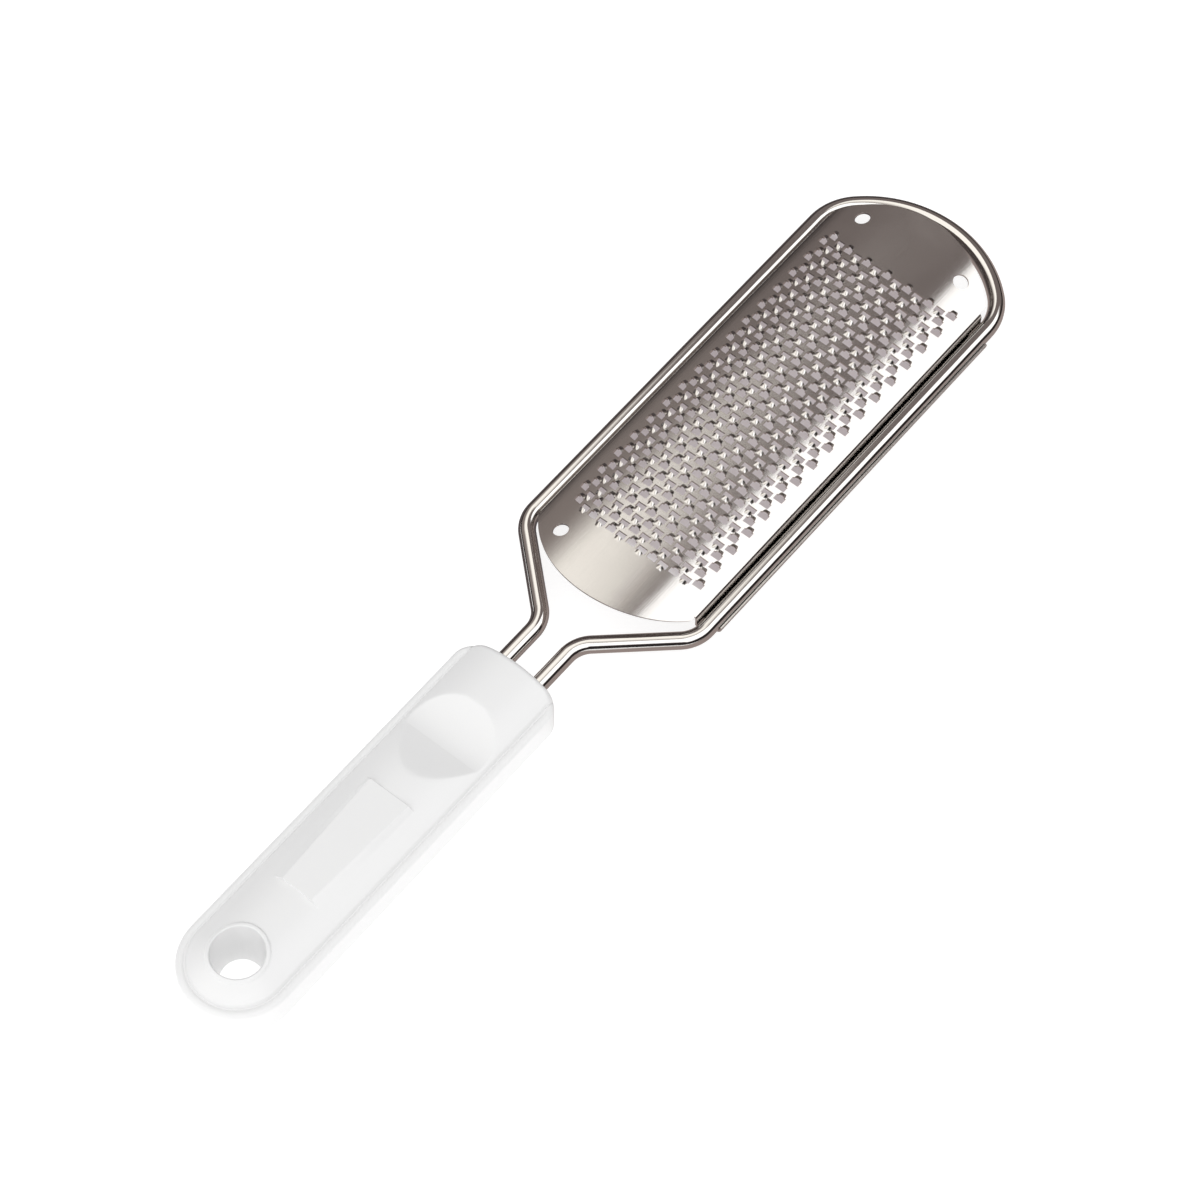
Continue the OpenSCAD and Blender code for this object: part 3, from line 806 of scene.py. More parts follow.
def rounded_rows(plan, profile, end_y):
    """Rows of corners and directions for a profile of (inset, height, outward share, upward share)."""
    rows, directions = [], []
    for inset, z, out, up in profile:
        points, outward = plan.horseshoe(inset, end_y)
        rows.append([(x, y, z) for x, y in points])
        directions.append([(o[0] * out, o[1] * out, up) for o in outward])
    return rows, directions


def tail_notches(wire, body, sign):
    """Half-round notches for the two tails in the split between the mouldings, from right to left.

    sign is -1 for notches that hang below the split and 1 for ones that rise over it.
    """
    radius = wire.wire_d / 2 + body.tail_gap
    points = []
    for middle in (-wire.tail_w / 2, wire.tail_w / 2):
        for turn in spread(math.pi, 0, NOTCH_POINTS):
            points.append((middle + radius * math.cos(turn), wire.wire_z + sign * radius * math.sin(turn)))
    return points


def front_face(skin, plan, wire, body, outline, sign):
    """The front face of one moulding, inside its outline, and the walls of its notches for the tails."""
    flat, faces = tiled(outline, [], [])
    skin.add([(plan.front, y, z) for y, z in flat], [(1, 0, 0)] * len(flat), faces)
    radius = wire.wire_d / 2 + body.tail_gap
    for middle in (-wire.tail_w / 2, wire.tail_w / 2):
        shade, rows = [], [[], []]
        for turn in spread(math.pi, 0, NOTCH_POINTS):
            c, s = math.cos(turn), sign * math.sin(turn)
            for row, x in zip(rows, (plan.front, plan.front - NOTCH_DEPTH)):
                row.append((x, middle + radius * c, wire.wire_z + radius * s))
            shade.append((0, -c, -s))
        skin.add_rows(rows, [shade, shade])


def body_sides(skin, plan, wire, body):
    """The lower moulding below the split: its sides, its front face and the rounded edge of its base."""
    base = []
    for turn in spread(-math.pi / 2, 0, 9):
        base.append((
            body.base_round * (1 - math.cos(turn)),
            body.base_round * (1 + math.sin(turn)),
            math.cos(turn),
            math.sin(turn),
        ))
    rows, directions = rounded_rows(plan, base + [(0, wire.wire_z, 1, 0)], plan.corner_y)
    skin.add_rows(rows, directions)

    across = spread(-plan.corner_y, plan.corner_y, BODY_FRONT_POINTS)
    rows = [[(plan.front - inset, y, z) for y in across] for inset, z, _, _ in base]
    directions = [[(out, 0, up)] * BODY_FRONT_POINTS for _, _, out, up in base]
    skin.add_rows(rows, directions)

    outline = [(y, body.base_round) for y in across] + [(plan.corner_y, wire.wire_z)]
    outline += tail_notches(wire, body, -1)[::-1] + [(-plan.corner_y, wire.wire_z)]
    front_face(skin, plan, wire, body, outline, -1)


def body_rim(skin, plan, wire, body):
    """The rim bead round the cover, and its two ends beside the cover's front corners."""
    seat_y = plan.half - body.rim_w
    rim = [(0, wire.wire_z, 1, 0)]
    for turn in spread(0, math.pi / 2, 8):
        rim.append((
            body.rim_round * (1 - math.cos(turn)),
            body.rim_z - body.rim_round * (1 - math.sin(turn)),
            math.cos(turn),
            math.sin(turn),
        ))
    for turn in spread(0, math.pi / 2, 6):
        rim.append((
            body.rim_w - body.seam_round * (1 - math.sin(turn)),
            body.rim_z - body.seam_round * (1 - math.cos(turn)),
            -math.sin(turn),
            math.cos(turn),
        ))
    rows, directions = rounded_rows(plan, rim, seat_y)
    skin.add_rows(rows, directions)

    ends = []
    for inset, z, _, _ in rim:
        points, _ = plan.horseshoe(inset, seat_y)
        ends.append((points[0][0], z))
    for side in (1, -1):
        rows = [[(x, side * seat_y, z) for x, z in ends], [(x, side * seat_y, wire.wire_z) for x, _ in ends]]
        skin.add_rows(rows, [[(0, -side, 0)] * len(ends)] * 2)


def seam_floor(skin, plan, body):
    """The floor of the seam between the rim and the cover, with a raised strip at each front corner."""
    seat_y = plan.half - body.rim_w
    z = body.rim_z - body.seam_depth
    profile = [(body.rim_w - SEAM_UNDER, z, 0, 1), (body.rim_w + SEAM_BEYOND, z, 0, 1)]
    rows, directions = rounded_rows(plan, profile, plan.corner_y)
    skin.add_rows(rows, directions)
    for side in (1, -1):
        rows = [
            [(plan.corner_x + run, side * (seat_y + off), z - drop) for off in (-SEAM_UNDER, SEAM_UNDER)]
            for run, drop in SEAM_CORNER
        ]
        skin.add_rows(rows, [[(0, 0, 1)] * 2] * len(rows))


def body_base(skin, plan, wire, body, cover):
    """The flat base, and the hanging hole's lower mouth and wall."""
    hang_r = body.hang_d / 2
    outer, _ = plan.horseshoe(body.base_round, plan.corner_y)
    across = spread(-plan.corner_y, plan.corner_y, BODY_FRONT_POINTS)
    flat_edge = [(plan.front - body.base_round, y) for y in across[1:-1]]
    hole, hole_out = arc(plan.hang, hang_r + LOW_MOUTH_SOFT, 0, 2 * math.pi, BODY_HOLE_POINTS)
    flat, faces = tiled(outer + flat_edge, [hole[:-1]], [])
    skin.add([(x, y, 0) for x, y in flat], [(0, 0, -1)] * len(flat), faces)

    profile = []
    for turn in spread(0, math.pi / 2, 5):
        c, s = math.cos(turn), math.sin(turn)
        profile.append((LOW_MOUTH_SOFT * (1 - s), LOW_MOUTH_SOFT * (1 - c), -s, -c))
    profile.append((cover.hang_draft, wire.wire_z, -1, DRAFT_LEAN))
    rows, directions = [], []
    for inset, z, out, up in profile:
        rows.append([(plan.hang[0] + (hang_r + inset) * o[0], (hang_r + inset) * o[1], z) for o in hole_out])
        directions.append([(o[0] * out, o[1] * out, up) for o in hole_out])
    skin.add_rows(rows, directions)


def handle_body_skin(scene):
    """The lower moulding: base, sides, front face, rim and the wall of the hanging hole."""
    wire, body, cover = scene.foot_file_wire, scene.foot_file_body, scene.foot_file_cover
    plan = Plan(body)
    skin = Skin()
    body_sides(skin, plan, wire, body)
    body_rim(skin, plan, wire, body)
    seam_floor(skin, plan, body)
    body_base(skin, plan, wire, body, cover)
    return skin


class CoverTop:
    """Height of the cover's top at a place seen from above."""

    def __init__(self, cover, plan):
        self.cover = cover
        self.plan = plan
        self.middle_z = cover.top - cover.crown_r
        self.hang_r = cover.hang_d / 2
        self.dish_x = plan.rear + cover.dish_x
        self.crease_x = self.dish_x + cover.dish_rear_l
        self.low_x = self.crease_x + cover.dish_low_l
        reach = cover.dish_front_l - cover.dish_low_l
        self.low_z = cover.top - cover.dish_depth
        self.arc_r = (reach**2 + cover.dish_depth**2) / (2 * cover.dish_depth)
        self.crease_z = self.hollow(self.crease_x)
        self.end_x = self.low_x + reach
        self.pad_side_z = self.middle_z + math.sqrt(cover.crown_r**2 - (cover.pad_w / 2) ** 2)

    def crown(self, x, y):
        """Height of the bare crown, which is domed over the rear end."""
        from_middle = math.hypot(x - self.plan.hang[0], y) if x < self.plan.hang[0] else abs(y)
        return self.middle_z + math.sqrt(self.cover.crown_r**2 - from_middle**2)

    def hollow(self, x):
        """Height of the dish's hollow front face, carried on past its end."""
        off = min(abs(x - self.low_x), ARC_LIMIT * self.arc_r)
        return self.low_z + self.arc_r - math.sqrt(self.arc_r**2 - off**2)

    def dish(self, x):
        """Height of the dish: a plane that slopes down to the crease, and the hollow beyond it."""
        if x >= self.crease_x:
            return self.hollow(x)
        slope = (self.crease_z - self.cover.top) / (self.crease_x - self.dish_x)
        return self.cover.top + slope * (x - self.dish_x)

    def pad_face(self, share):
        """Half the width of the pad's face at a share of its length from the rear."""
        cover = self.cover
        return (cover.pad_rear_face_w + (cover.pad_front_face_w - cover.pad_rear_face_w) * share) / 2

    def pad(self, x, y):
        """Height of the pad's face and sides, far below the crown beyond its two ends."""
        cover = self.cover
        along = x - (self.plan.rear + cover.pad_x)
        face = self.pad_face(along / cover.pad_l + 0.5)
        top = cover.top + cover.pad_rise
        slope = (top - self.pad_side_z) / (cover.pad_w / 2 - face)
        side = soft_min(top, top - slope * (abs(y) - face), PAD_EDGE_SOFT)
        past = abs(along) - cover.pad_l / 2
        return soft_min(side, top - PAD_END_SLOPE * past, PAD_EDGE_SOFT)

    def height(self, x, y):
        """Height of the finished top: crown, pad, dish and ring."""
        z = soft_max(self.crown(x, y), self.pad(x, y), PAD_FOOT_SOFT)
        if self.dish_x - DISH_MARGIN < x < self.end_x + DISH_MARGIN:
            z = soft_min(z, self.dish(x), DISH_SOFT)
        slope_end = self.cover.ring_w + RING_BEYOND
        from_hole = math.hypot(x - self.plan.hang[0], y) - self.hang_r
        if from_hole < slope_end:
            share = min(1.0, (slope_end - from_hole) / RING_SLOPE_W)
            z += self.cover.ring_rise * share * share * (3 - 2 * share)
        return z

    def direction(self, x, y):
        """The way the top faces at a place."""
        step = SLOPE_STEP
        run = (self.height(x + step, y) - self.height(x - step, y)) / (2 * step)
        side = (self.height(x, y + step) - self.height(x, y - step)) / (2 * step)
        return Vector((-run, -side, 1)).normalized()


def soft_min(a, b, width):
    """The lower of two heights, with the corner between them rounded over about that width."""
    return (a + b - math.sqrt((a - b) ** 2 + 4 * width**2)) / 2


def soft_max(a, b, width):
    """The higher of two heights, with the corner between them rounded over about that width."""
    return (a + b + math.sqrt((a - b) ** 2 + 4 * width**2)) / 2


def cover_outline(plan, cover_y, side_round, front_round):
    """Outline of the cover, counterclockwise from the right end of its front face.

    Returns it with its outward directions and how far its edge is rounded at each point.
    """
    points = [(plan.front, y) for y in spread(-plan.corner_y, plan.corner_y, COVER_FRONT_POINTS)]
    outward = [(1, 0)] * COVER_FRONT_POINTS
    rounding = [front_round] * COVER_FRONT_POINTS
    last = math.asin((cover_y - plan.corner_y) / plan.corner_r)
    corner, corner_out = arc((plan.corner_x, plan.corner_y), plan.corner_r, 0, last, CORNER_POINTS)
    points += corner[1:]
    outward += corner_out[1:]
    rounding += spread(front_round, 2 * side_round, CORNER_POINTS)[1:]
    start_x = points[-1][0]
    for x in spread(start_x, plan.hang[0], COVER_SIDE_POINTS)[1:-1]:
        points.append((x, cover_y))
        outward.append((0, 1))
        rounding.append(side_round)
    back, back_out = arc(plan.hang, cover_y, math.pi / 2, 3 * math.pi / 2, COVER_REAR_POINTS)
    points += back
    outward += back_out
    rounding += [side_round] * len(back)
    for x in spread(plan.hang[0], start_x, COVER_SIDE_POINTS)[1:-1]:
        points.append((x, -cover_y))
        outward.append((0, -1))
        rounding.append(side_round)
    points += [(x, -y) for x, y in reversed(corner[1:])]
    outward += [(x, -y) for x, y in reversed(corner_out[1:])]
    rounding += spread(2 * side_round, front_round, CORNER_POINTS)[:-1]
    return points, outward, rounding


def cover_edge(skin, top, points, outward, rounding):
    """The rounded edge round the cover's top. Returns its lowest row."""
    rows, directions = [], []
    for turn in spread(0, math.pi / 2, 8):
        row, shade = [], []
        for p, o, r in zip(points, outward, rounding):
            x = p[0] - o[0] * r * (1 - math.sin(turn))
            y = p[1] - o[1] * r * (1 - math.sin(turn))
            row.append((x, y, top.height(x, y) - r * (1 - math.cos(turn))))
            face = top.direction(x, y)
            shade.append(face * math.cos(turn) + Vector((o[0], o[1], 0)) * math.sin(turn))
        rows.append(row)
        directions.append(shade)
    skin.add_rows(rows, directions, closed=True)
    return rows[-1]


def cover_hole(skin, plan, top, hole_out, split):
    """The hanging hole's rounded upper mouth, and its drafted wall down to the split."""
    rows, directions = [], []
    for turn in spread(0, math.pi / 2, 6):
        reach = top.hang_r + TOP_MOUTH_SOFT * (1 - math.sin(turn))
        row, shade = [], []
        for o in hole_out:
            x, y = plan.hang[0] + reach * o[0], reach * o[1]
            row.append((x, y, top.height(x, y) - TOP_MOUTH_SOFT * (1 - math.cos(turn))))
            shade.append(Vector((-o[0], -o[1], 0)) * math.sin(turn) + Vector((0, 0, 1)) * math.cos(turn))
        rows.append(row)
        directions.append(shade)
    foot_r = top.hang_r - top.cover.hang_draft
    rows.append([(plan.hang[0] + foot_r * o[0], foot_r * o[1], split) for o in hole_out])
    directions.append([(-o[0], -o[1], DRAFT_LEAN) for o in hole_out])
    skin.add_rows(rows, directions)


def handle_cover_skin(scene):
    """The upper moulding: crowned top with its ring, bare pad and thumb dish, and the edges round it."""
    wire, body, cover = scene.foot_file_wire, scene.foot_file_body, scene.foot_file_cover
    plan = Plan(body)
    top = CoverTop(cover, plan)
    skin = Skin()
    cover_y = plan.half - body.rim_w - body.seam_gap
    points, outward, rounding = cover_outline(plan, cover_y, body.seam_round, cover.front_round)

    # the top itself, inside its rounded edges
    inner = [(p[0] - o[0] * r, p[1] - o[1] * r) for p, o, r in zip(points, outward, rounding)]
    hole, hole_out = arc(plan.hang, top.hang_r + TOP_MOUTH_SOFT, 0, 2 * math.pi, COVER_HOLE_POINTS)
    flat, faces = tiled(inner, [hole[:-1]], loose_points(top, plan, cover_y))
    skin.add(
        [(x, y, top.height(x, y)) for x, y in flat],
        [top.direction(x, y) for x, y in flat],
        faces,
    )
    edge = cover_edge(skin, top, points, outward, rounding)

    # skirt round the sides and the rear end, down to the split
    split = wire.wire_z
    around = edge[COVER_FRONT_POINTS - 1:] + edge[:1]
    shade = [(o[0], o[1], 0) for o in outward[COVER_FRONT_POINTS - 1:] + outward[:1]]
    skin.add_rows([around, [(x, y, split) for x, y, _ in around]], [shade, shade])

    outline = [(-plan.corner_y, split)] + tail_notches(wire, body, 1) + [(plan.corner_y, split)]
    outline += [(y, z) for _, y, z in reversed(edge[:COVER_FRONT_POINTS])]
    front_face(skin, plan, wire, body, outline, 1)
    cover_hole(skin, plan, top, hole_out, split)
    return skin


def loose_points(top, plan, cover_y):
    """Places on the cover's top: an even grid, and closer ones beside the edges of dish, pad and ring."""
    cover = top.cover
    places = [
        (x, y)
        for x in spread(plan.rear + 3 * MM, plan.front - 1.5 * MM, 130)
        for y in spread(-cover_y + 0.8 * MM, cover_y - 0.8 * MM, 29)
    ]
    for x in spread(top.dish_x, top.end_x, 70):
        reach = cover.crown_r**2 - (top.dish(x) - top.middle_z) ** 2
        if reach > 0:
            edge = math.sqrt(reach)
            places += [(x, side * (edge + off)) for off in NEAR for side in (1, -1) if edge + off > 0]
    for y in spread(-CREASE_REACH, CREASE_REACH, 52):
        places += [(top.crease_x + off, y) for off in NEAR]
    pad_rear = plan.rear + cover.pad_x - cover.pad_l / 2
    for share in spread(0, 1, 61):
        x = pad_rear + cover.pad_l * share
        for middle in (top.pad_face(share), cover.pad_w / 2):
            places += [(x, side * (middle + off)) for off in NEAR for side in (1, -1)]
    for end in (pad_rear, pad_rear + cover.pad_l):
        for off in NEAR_END:
            places += [(end + off, y) for y in spread(-PAD_END_REACH, PAD_END_REACH, 45)]
    for reach in RING_POINTS:
        ring, _ = arc(plan.hang, top.hang_r + reach, 0, 2 * math.pi, 73)
        places += ring[:-1]
    return places


# room that each shader node takes when a tree is laid out
NODE_W = 220
NODE_H = 260


def node(tree, kind, **values):
    """A shader node with its plain settings, and with its inputs named in_ set to a value."""
    made = tree.nodes.new(kind)
    for name, value in values.items():
        if name.startswith("in_"):
            made.inputs[name[3:].replace("_", " ")].default_value = value
        else:
            setattr(made, name, value)
    return made


def calculate(tree, operation, a, b, clamp=False):
    """The result of a math node on links or numbers."""
    made = node(tree, "ShaderNodeMath", operation=operation, use_clamp=clamp)
    for socket, value in zip(made.inputs, (a, b)):
        if isinstance(value, (int, float)):
            socket.default_value = value
        else:
            tree.links.new(value, socket)
    return made.outputs[0]


def ramp_between(tree, value, low, high):
    """A smooth step from 0 at low to 1 at high."""
    made = node(tree, "ShaderNodeMapRange", interpolation_type="SMOOTHSTEP",
                in_From_Min=low, in_From_Max=high)
    tree.links.new(value, made.inputs["Value"])
    return made.outputs["Result"]


def masked(tree, parts, edges):
    """The product of smooth steps, one for each edge: a part's name, its value at 0 and its value at 1."""
    mask = None
    for name, off, on in edges:
        step = ramp_between(tree, parts[name], off, on)
        mask = step if mask is None else calculate(tree, "MULTIPLY", mask, step)
    return mask


def blend(tree, mask, low, high):
    """A colour that is low where the mask is 0 and high where it is 1. Each is a colour or a link."""
    made = node(tree, "ShaderNodeMix", data_type="RGBA")
    for socket, value in ((made.inputs[6], low), (made.inputs[7], high)):
        if isinstance(value, tuple):
            socket.default_value = (*value, 1)
        else:
            tree.links.new(value, socket)
    tree.links.new(mask, made.inputs[0])
    return made.outputs[2]


def coordinates(tree, kind):
    """Coordinates of one kind, whole, and their three parts by name."""
    place = node(tree, "ShaderNodeTexCoord")
    split = node(tree, "ShaderNodeSeparateXYZ")
    tree.links.new(place.outputs[kind], split.inputs[0])
    return place.outputs[kind], dict(zip("xyz", split.outputs))


def lay_out(tree):
    """Places a tree's nodes in columns, from what it reads on the left to its output on the right."""
    column = {made.name: 0 for made in tree.nodes}
    for _ in tree.nodes:
        for link in tree.links:
            behind = column[link.to_node.name] + 1
            column[link.from_node.name] = max(column[link.from_node.name], behind)
    filled = dict.fromkeys(column.values(), 0)
    for made in tree.nodes:
        at = column[made.name]
        made.location = (-NODE_W * at, -NODE_H * filled[at])
        filled[at] += 1


def new_group(name, inputs, outputs):
    """An empty shader node group with named inputs, given as (name, kind, default), and outputs."""
    group = bpy.data.node_groups.new(name, "ShaderNodeTree")
    for label, kind, default in inputs:
        socket = group.interface.new_socket(name=label, in_out="INPUT", socket_type=kind)
        socket.default_value = default
    for label, kind in outputs:
        group.interface.new_socket(name=label, in_out="OUTPUT", socket_type=kind)
    return group, node(group, "NodeGroupInput"), node(group, "NodeGroupOutput")


def off_middle(tree, noise, amount):
    """How far a noise is from its middle value of a half, times an amount."""
    return calculate(tree, "MULTIPLY", calculate(tree, "SUBTRACT", noise, 0.5), amount)


def grain_group():
    """Fine lines along the tool, as rolling and polishing leave in steel."""
    if "Rolled grain" in bpy.data.node_groups:
        return bpy.data.node_groups["Rolled grain"]
    group, given, out = new_group(
        "Rolled grain",
        [
            ("Lines per metre", "NodeSocketFloat", 6000.0),
            ("Line length", "NodeSocketFloat", 40.0),
            ("Roughness", "NodeSocketFloat", 0.12),
            ("Variation", "NodeSocketFloat", 0.05),
        ],
        [("Height", "NodeSocketFloat"), ("Roughness", "NodeSocketFloat")],
    )
    links = group.links
    _, parts = coordinates(group, "Object")
    across = given.outputs["Lines per metre"]
    along = calculate(group, "DIVIDE", across, given.outputs["Line length"])
    joined = node(group, "ShaderNodeCombineXYZ")
    for socket, name, scale in zip(joined.inputs, "xyz", (along, across, across)):
        links.new(calculate(group, "MULTIPLY", parts[name], scale), socket)
    noise = node(group, "ShaderNodeTexNoise", in_Scale=1.0, in_Detail=3.0, in_Roughness=0.6)
    links.new(joined.outputs[0], noise.inputs["Vector"])
    links.new(noise.outputs[0], out.inputs["Height"])
    varied = off_middle(group, noise.outputs[0], given.outputs["Variation"])
    links.new(calculate(group, "ADD", given.outputs["Roughness"], varied), out.inputs["Roughness"])
    lay_out(group)
    return group


def handling_group():
    """Soft marks that handling leaves: a mask for roughness and a slightly uneven tone."""
    if "Handling marks" in bpy.data.node_groups:
        return bpy.data.node_groups["Handling marks"]
    group, given, out = new_group(
        "Handling marks",
        [
            ("Scale", "NodeSocketFloat", 60.0),
            ("Amount", "NodeSocketFloat", 0.5),
            ("Colour", "NodeSocketColor", (0.8, 0.8, 0.8, 1)),
            ("Tone", "NodeSocketFloat", 0.04),
        ],
        [("Mask", "NodeSocketFloat"), ("Colour", "NodeSocketColor")],
    )
    links = group.links
    place = node(group, "ShaderNodeTexCoord")
    noise = node(group, "ShaderNodeTexNoise", in_Detail=4.0, in_Roughness=0.55, in_Distortion=0.4)
    links.new(place.outputs["Object"], noise.inputs["Vector"])
    links.new(given.outputs["Scale"], noise.inputs["Scale"])
    mask = ramp_between(group, noise.outputs[0], 0.45, 0.75)
    marks = calculate(group, "MULTIPLY", mask, given.outputs["Amount"], clamp=True)
    links.new(marks, out.inputs["Mask"])
    tone = calculate(group, "ADD", 1.0, off_middle(group, noise.outputs[0], given.outputs["Tone"]))
    shaded = node(group, "ShaderNodeVectorMath", operation="SCALE")
    links.new(given.outputs["Colour"], shaded.inputs[0])
    links.new(tone, shaded.inputs["Scale"])
    links.new(shaded.outputs[0], out.inputs["Colour"])
    lay_out(group)
    return group


def moulded_group():
    """Faint texture of a polished mould in plastic, with slight waves from cooling."""
    if "Moulded skin" in bpy.data.node_groups:
        return bpy.data.node_groups["Moulded skin"]
    group, given, out = new_group(
        "Moulded skin",
        [
            ("Grain scale", "NodeSocketFloat", 3500.0),
            ("Wave scale", "NodeSocketFloat", 90.0),
            ("Wave share", "NodeSocketFloat", 0.7),
        ],
        [("Height", "NodeSocketFloat")],
    )
    links = group.links
    place = node(group, "ShaderNodeTexCoord")
    fine = node(group, "ShaderNodeTexNoise", in_Detail=2.0)
    wave = node(group, "ShaderNodeTexNoise", in_Detail=1.0)
    for noise, scale in ((fine, "Grain scale"), (wave, "Wave scale")):
        links.new(place.outputs["Object"], noise.inputs["Vector"])
        links.new(given.outputs[scale], noise.inputs["Scale"])
    waves = calculate(group, "MULTIPLY", wave.outputs[0], given.outputs["Wave share"])
    links.new(calculate(group, "ADD", fine.outputs[0], waves), out.inputs["Height"])
    lay_out(group)
    return group


def put_group(tree, group, **values):
    """A shared node group placed in a material's tree, with this material's own values."""
    made = node(tree, "ShaderNodeGroup", node_tree=group)
    for name, value in values.items():
        made.inputs[name.replace("_", " ")].default_value = value
    return made


def new_material(name):
    """A material, its node tree and its main shader."""
    material = bpy.data.materials.new(name)
    material.use_nodes = True
    return material, material.node_tree, material.node_tree.nodes["Principled BSDF"]


def dress(tree, shader, rough, height, marks, mark_roughness, strength, depth):
    """Gives a shader its colour and roughness, both with marks from handling, and its relief."""
    relief = node(tree, "ShaderNodeBump", in_Strength=strength, in_Distance=depth)
    added = calculate(tree, "MULTIPLY", marks.outputs["Mask"], mark_roughness)
    tree.links.new(height, relief.inputs["Height"])
    tree.links.new(relief.outputs[0], shader.inputs["Normal"])
    tree.links.new(calculate(tree, "ADD", rough, added), shader.inputs["Roughness"])
    tree.links.new(marks.outputs["Colour"], shader.inputs["Base Color"])
    lay_out(tree)


def steel(name, tint, roughness, lines, line_length, strength, amount):
    """Stainless steel with fine lines along the tool and soft marks from handling."""
    material, tree, shader = new_material(name)
    grain = put_group(tree, grain_group(), Lines_per_metre=lines, Line_length=line_length,
                      Roughness=roughness, Variation=0.5 * roughness)
    marks = put_group(tree, handling_group(), Scale=55.0, Amount=amount, Colour=(*tint, 1), Tone=0.10)
    shader.inputs["Metallic"].default_value = 1.0
    dress(tree, shader, grain.outputs["Roughness"], grain.outputs["Height"], marks,
          mark_roughness=0.06, strength=strength, depth=0.02 * MM)
    return material


def plate_material(finishes):
    """Rolled stainless sheet."""
    name = "Rolled steel sheet"
    return bpy.data.materials.get(name) or steel(
        name, finishes.plate_steel, finishes.plate_roughness,
        lines=5200.0, line_length=60.0, strength=0.35, amount=0.5,
    )


def wire_material(finishes):
    """Polished round wire."""
    name = "Polished wire"
    return bpy.data.materials.get(name) or steel(
        name, finishes.wire_steel, finishes.wire_roughness,
        lines=3800.0, line_length=45.0, strength=0.2, amount=0.4,
    )


def handle_material(finishes):
    """White moulded plastic, half gloss."""
    name = "White moulded plastic"
    if name in bpy.data.materials:
        return bpy.data.materials[name]
    material, tree, shader = new_material(name)
    marks = put_group(tree, handling_group(), Scale=40.0, Amount=0.6,
                      Colour=(*finishes.handle_white, 1), Tone=0.03)
    skin = put_group(tree, moulded_group())
    shader.inputs["IOR"].default_value = 1.49
    dress(tree, shader, finishes.handle_roughness, skin.outputs["Height"], marks,
          mark_roughness=0.12, strength=0.25, depth=0.05 * MM)
    return material


# the two tints between which the paper's fibres vary
PAPER_DARK = (0.49, 0.485, 0.485)
PAPER_LIGHT = (0.51, 0.505, 0.505)
# glow of the open floor, and the dimmer pinkish glow of a painted shadow right under the plate, and the edges
# of that
# painted shadow: a place's name, where the glow is open and where it is shaded
GLOW = (0.76, 0.76, 0.76)
PAINTED_SHADOW_GLOW = (0.28, 0.24, 0.25)
PAINTED_SHADOW_EDGES = (("x", 0.012, 0.021), ("x", 0.119, 0.112), ("y", -0.022, -0.014), ("y", 0.028, 0.023))
# painted reflection: the dimmer floor that steel mirrors, on the near side and beyond the tool
PAINTED_REFLECTION_NEAR = (0.42, 0.35, 0.33)
PAINTED_REFLECTION_BEYOND = (0.12, 0.10, 0.10)
BEYOND_TOOL = (("y", -0.01, 0.02),)
# the painted reflection starts at the handle's front end
AHEAD_OF_HANDLE = (("x", -0.035, -0.02),)


def floor_material():
    """Bright paper sweep, lit by the room and by a glow, with a painted shadow where the glow fades right
    under the plate.

    Steel mirrors a painted reflection: a dimmer floor round the wire and the plate, darkest beyond the tool.
    """
    material = bpy.data.materials.new("Paper floor")
    material.use_nodes = True
    tree = material.node_tree
    tree.nodes.clear()
    links = tree.links
    place, parts = coordinates(tree, "Object")
    fibre = node(tree, "ShaderNodeTexNoise", in_Scale=900.0, in_Detail=2.0)
    paper = node(tree, "ShaderNodeBsdfDiffuse")
    glow = node(tree, "ShaderNodeEmission", in_Strength=1.0)
    both = node(tree, "ShaderNodeAddShader")
    links.new(place, fibre.inputs["Vector"])
    links.new(blend(tree, fibre.outputs[0], PAPER_DARK, PAPER_LIGHT), paper.inputs["Color"])
    # painted shadow: the glow falls to a dim pinkish grey in a patch right under the plate
    links.new(blend(tree, masked(tree, parts, PAINTED_SHADOW_EDGES), GLOW, PAINTED_SHADOW_GLOW), glow.inputs["Color"])
    links.new(paper.outputs[0], both.inputs[0])
    links.new(glow.outputs[0], both.inputs[1])

    # painted reflection: rays mirrored by the steel see a dimmer floor, darkest beyond the tool, from the
    # handle's front end on
    mirrored = node(tree, "ShaderNodeEmission", in_Strength=1.0)
    dim = blend(tree, masked(tree, parts, BEYOND_TOOL), PAINTED_REFLECTION_NEAR, PAINTED_REFLECTION_BEYOND)
    links.new(dim, mirrored.inputs["Color"])
    paths = node(tree, "ShaderNodeLightPath")
    ahead = masked(tree, parts, AHEAD_OF_HANDLE)
    choice = node(tree, "ShaderNodeMixShader")
    links.new(calculate(tree, "MULTIPLY", paths.outputs["Is Glossy Ray"], ahead), choice.inputs[0])
    links.new(both.outputs[0], choice.inputs[1])
    links.new(mirrored.outputs[0], choice.inputs[2])
    out = node(tree, "ShaderNodeOutputMaterial")
    links.new(choice.outputs[0], out.inputs["Surface"])
    lay_out(tree)
    return material


# What steel mirrors depends on the way a ray leaves it: x towards the tip, y to the left, z up, and three
# mixtures of them. slant is x less a share of y. low is z less a share of how far the ray runs to the near
# side. far is y plus a multiple of what x has over the panel's corner.
SLANT_SHARE = 0.06
LOW_SHARE = 0.34
FAR_CORNER = 0.40
FAR_TIMES = 3.0
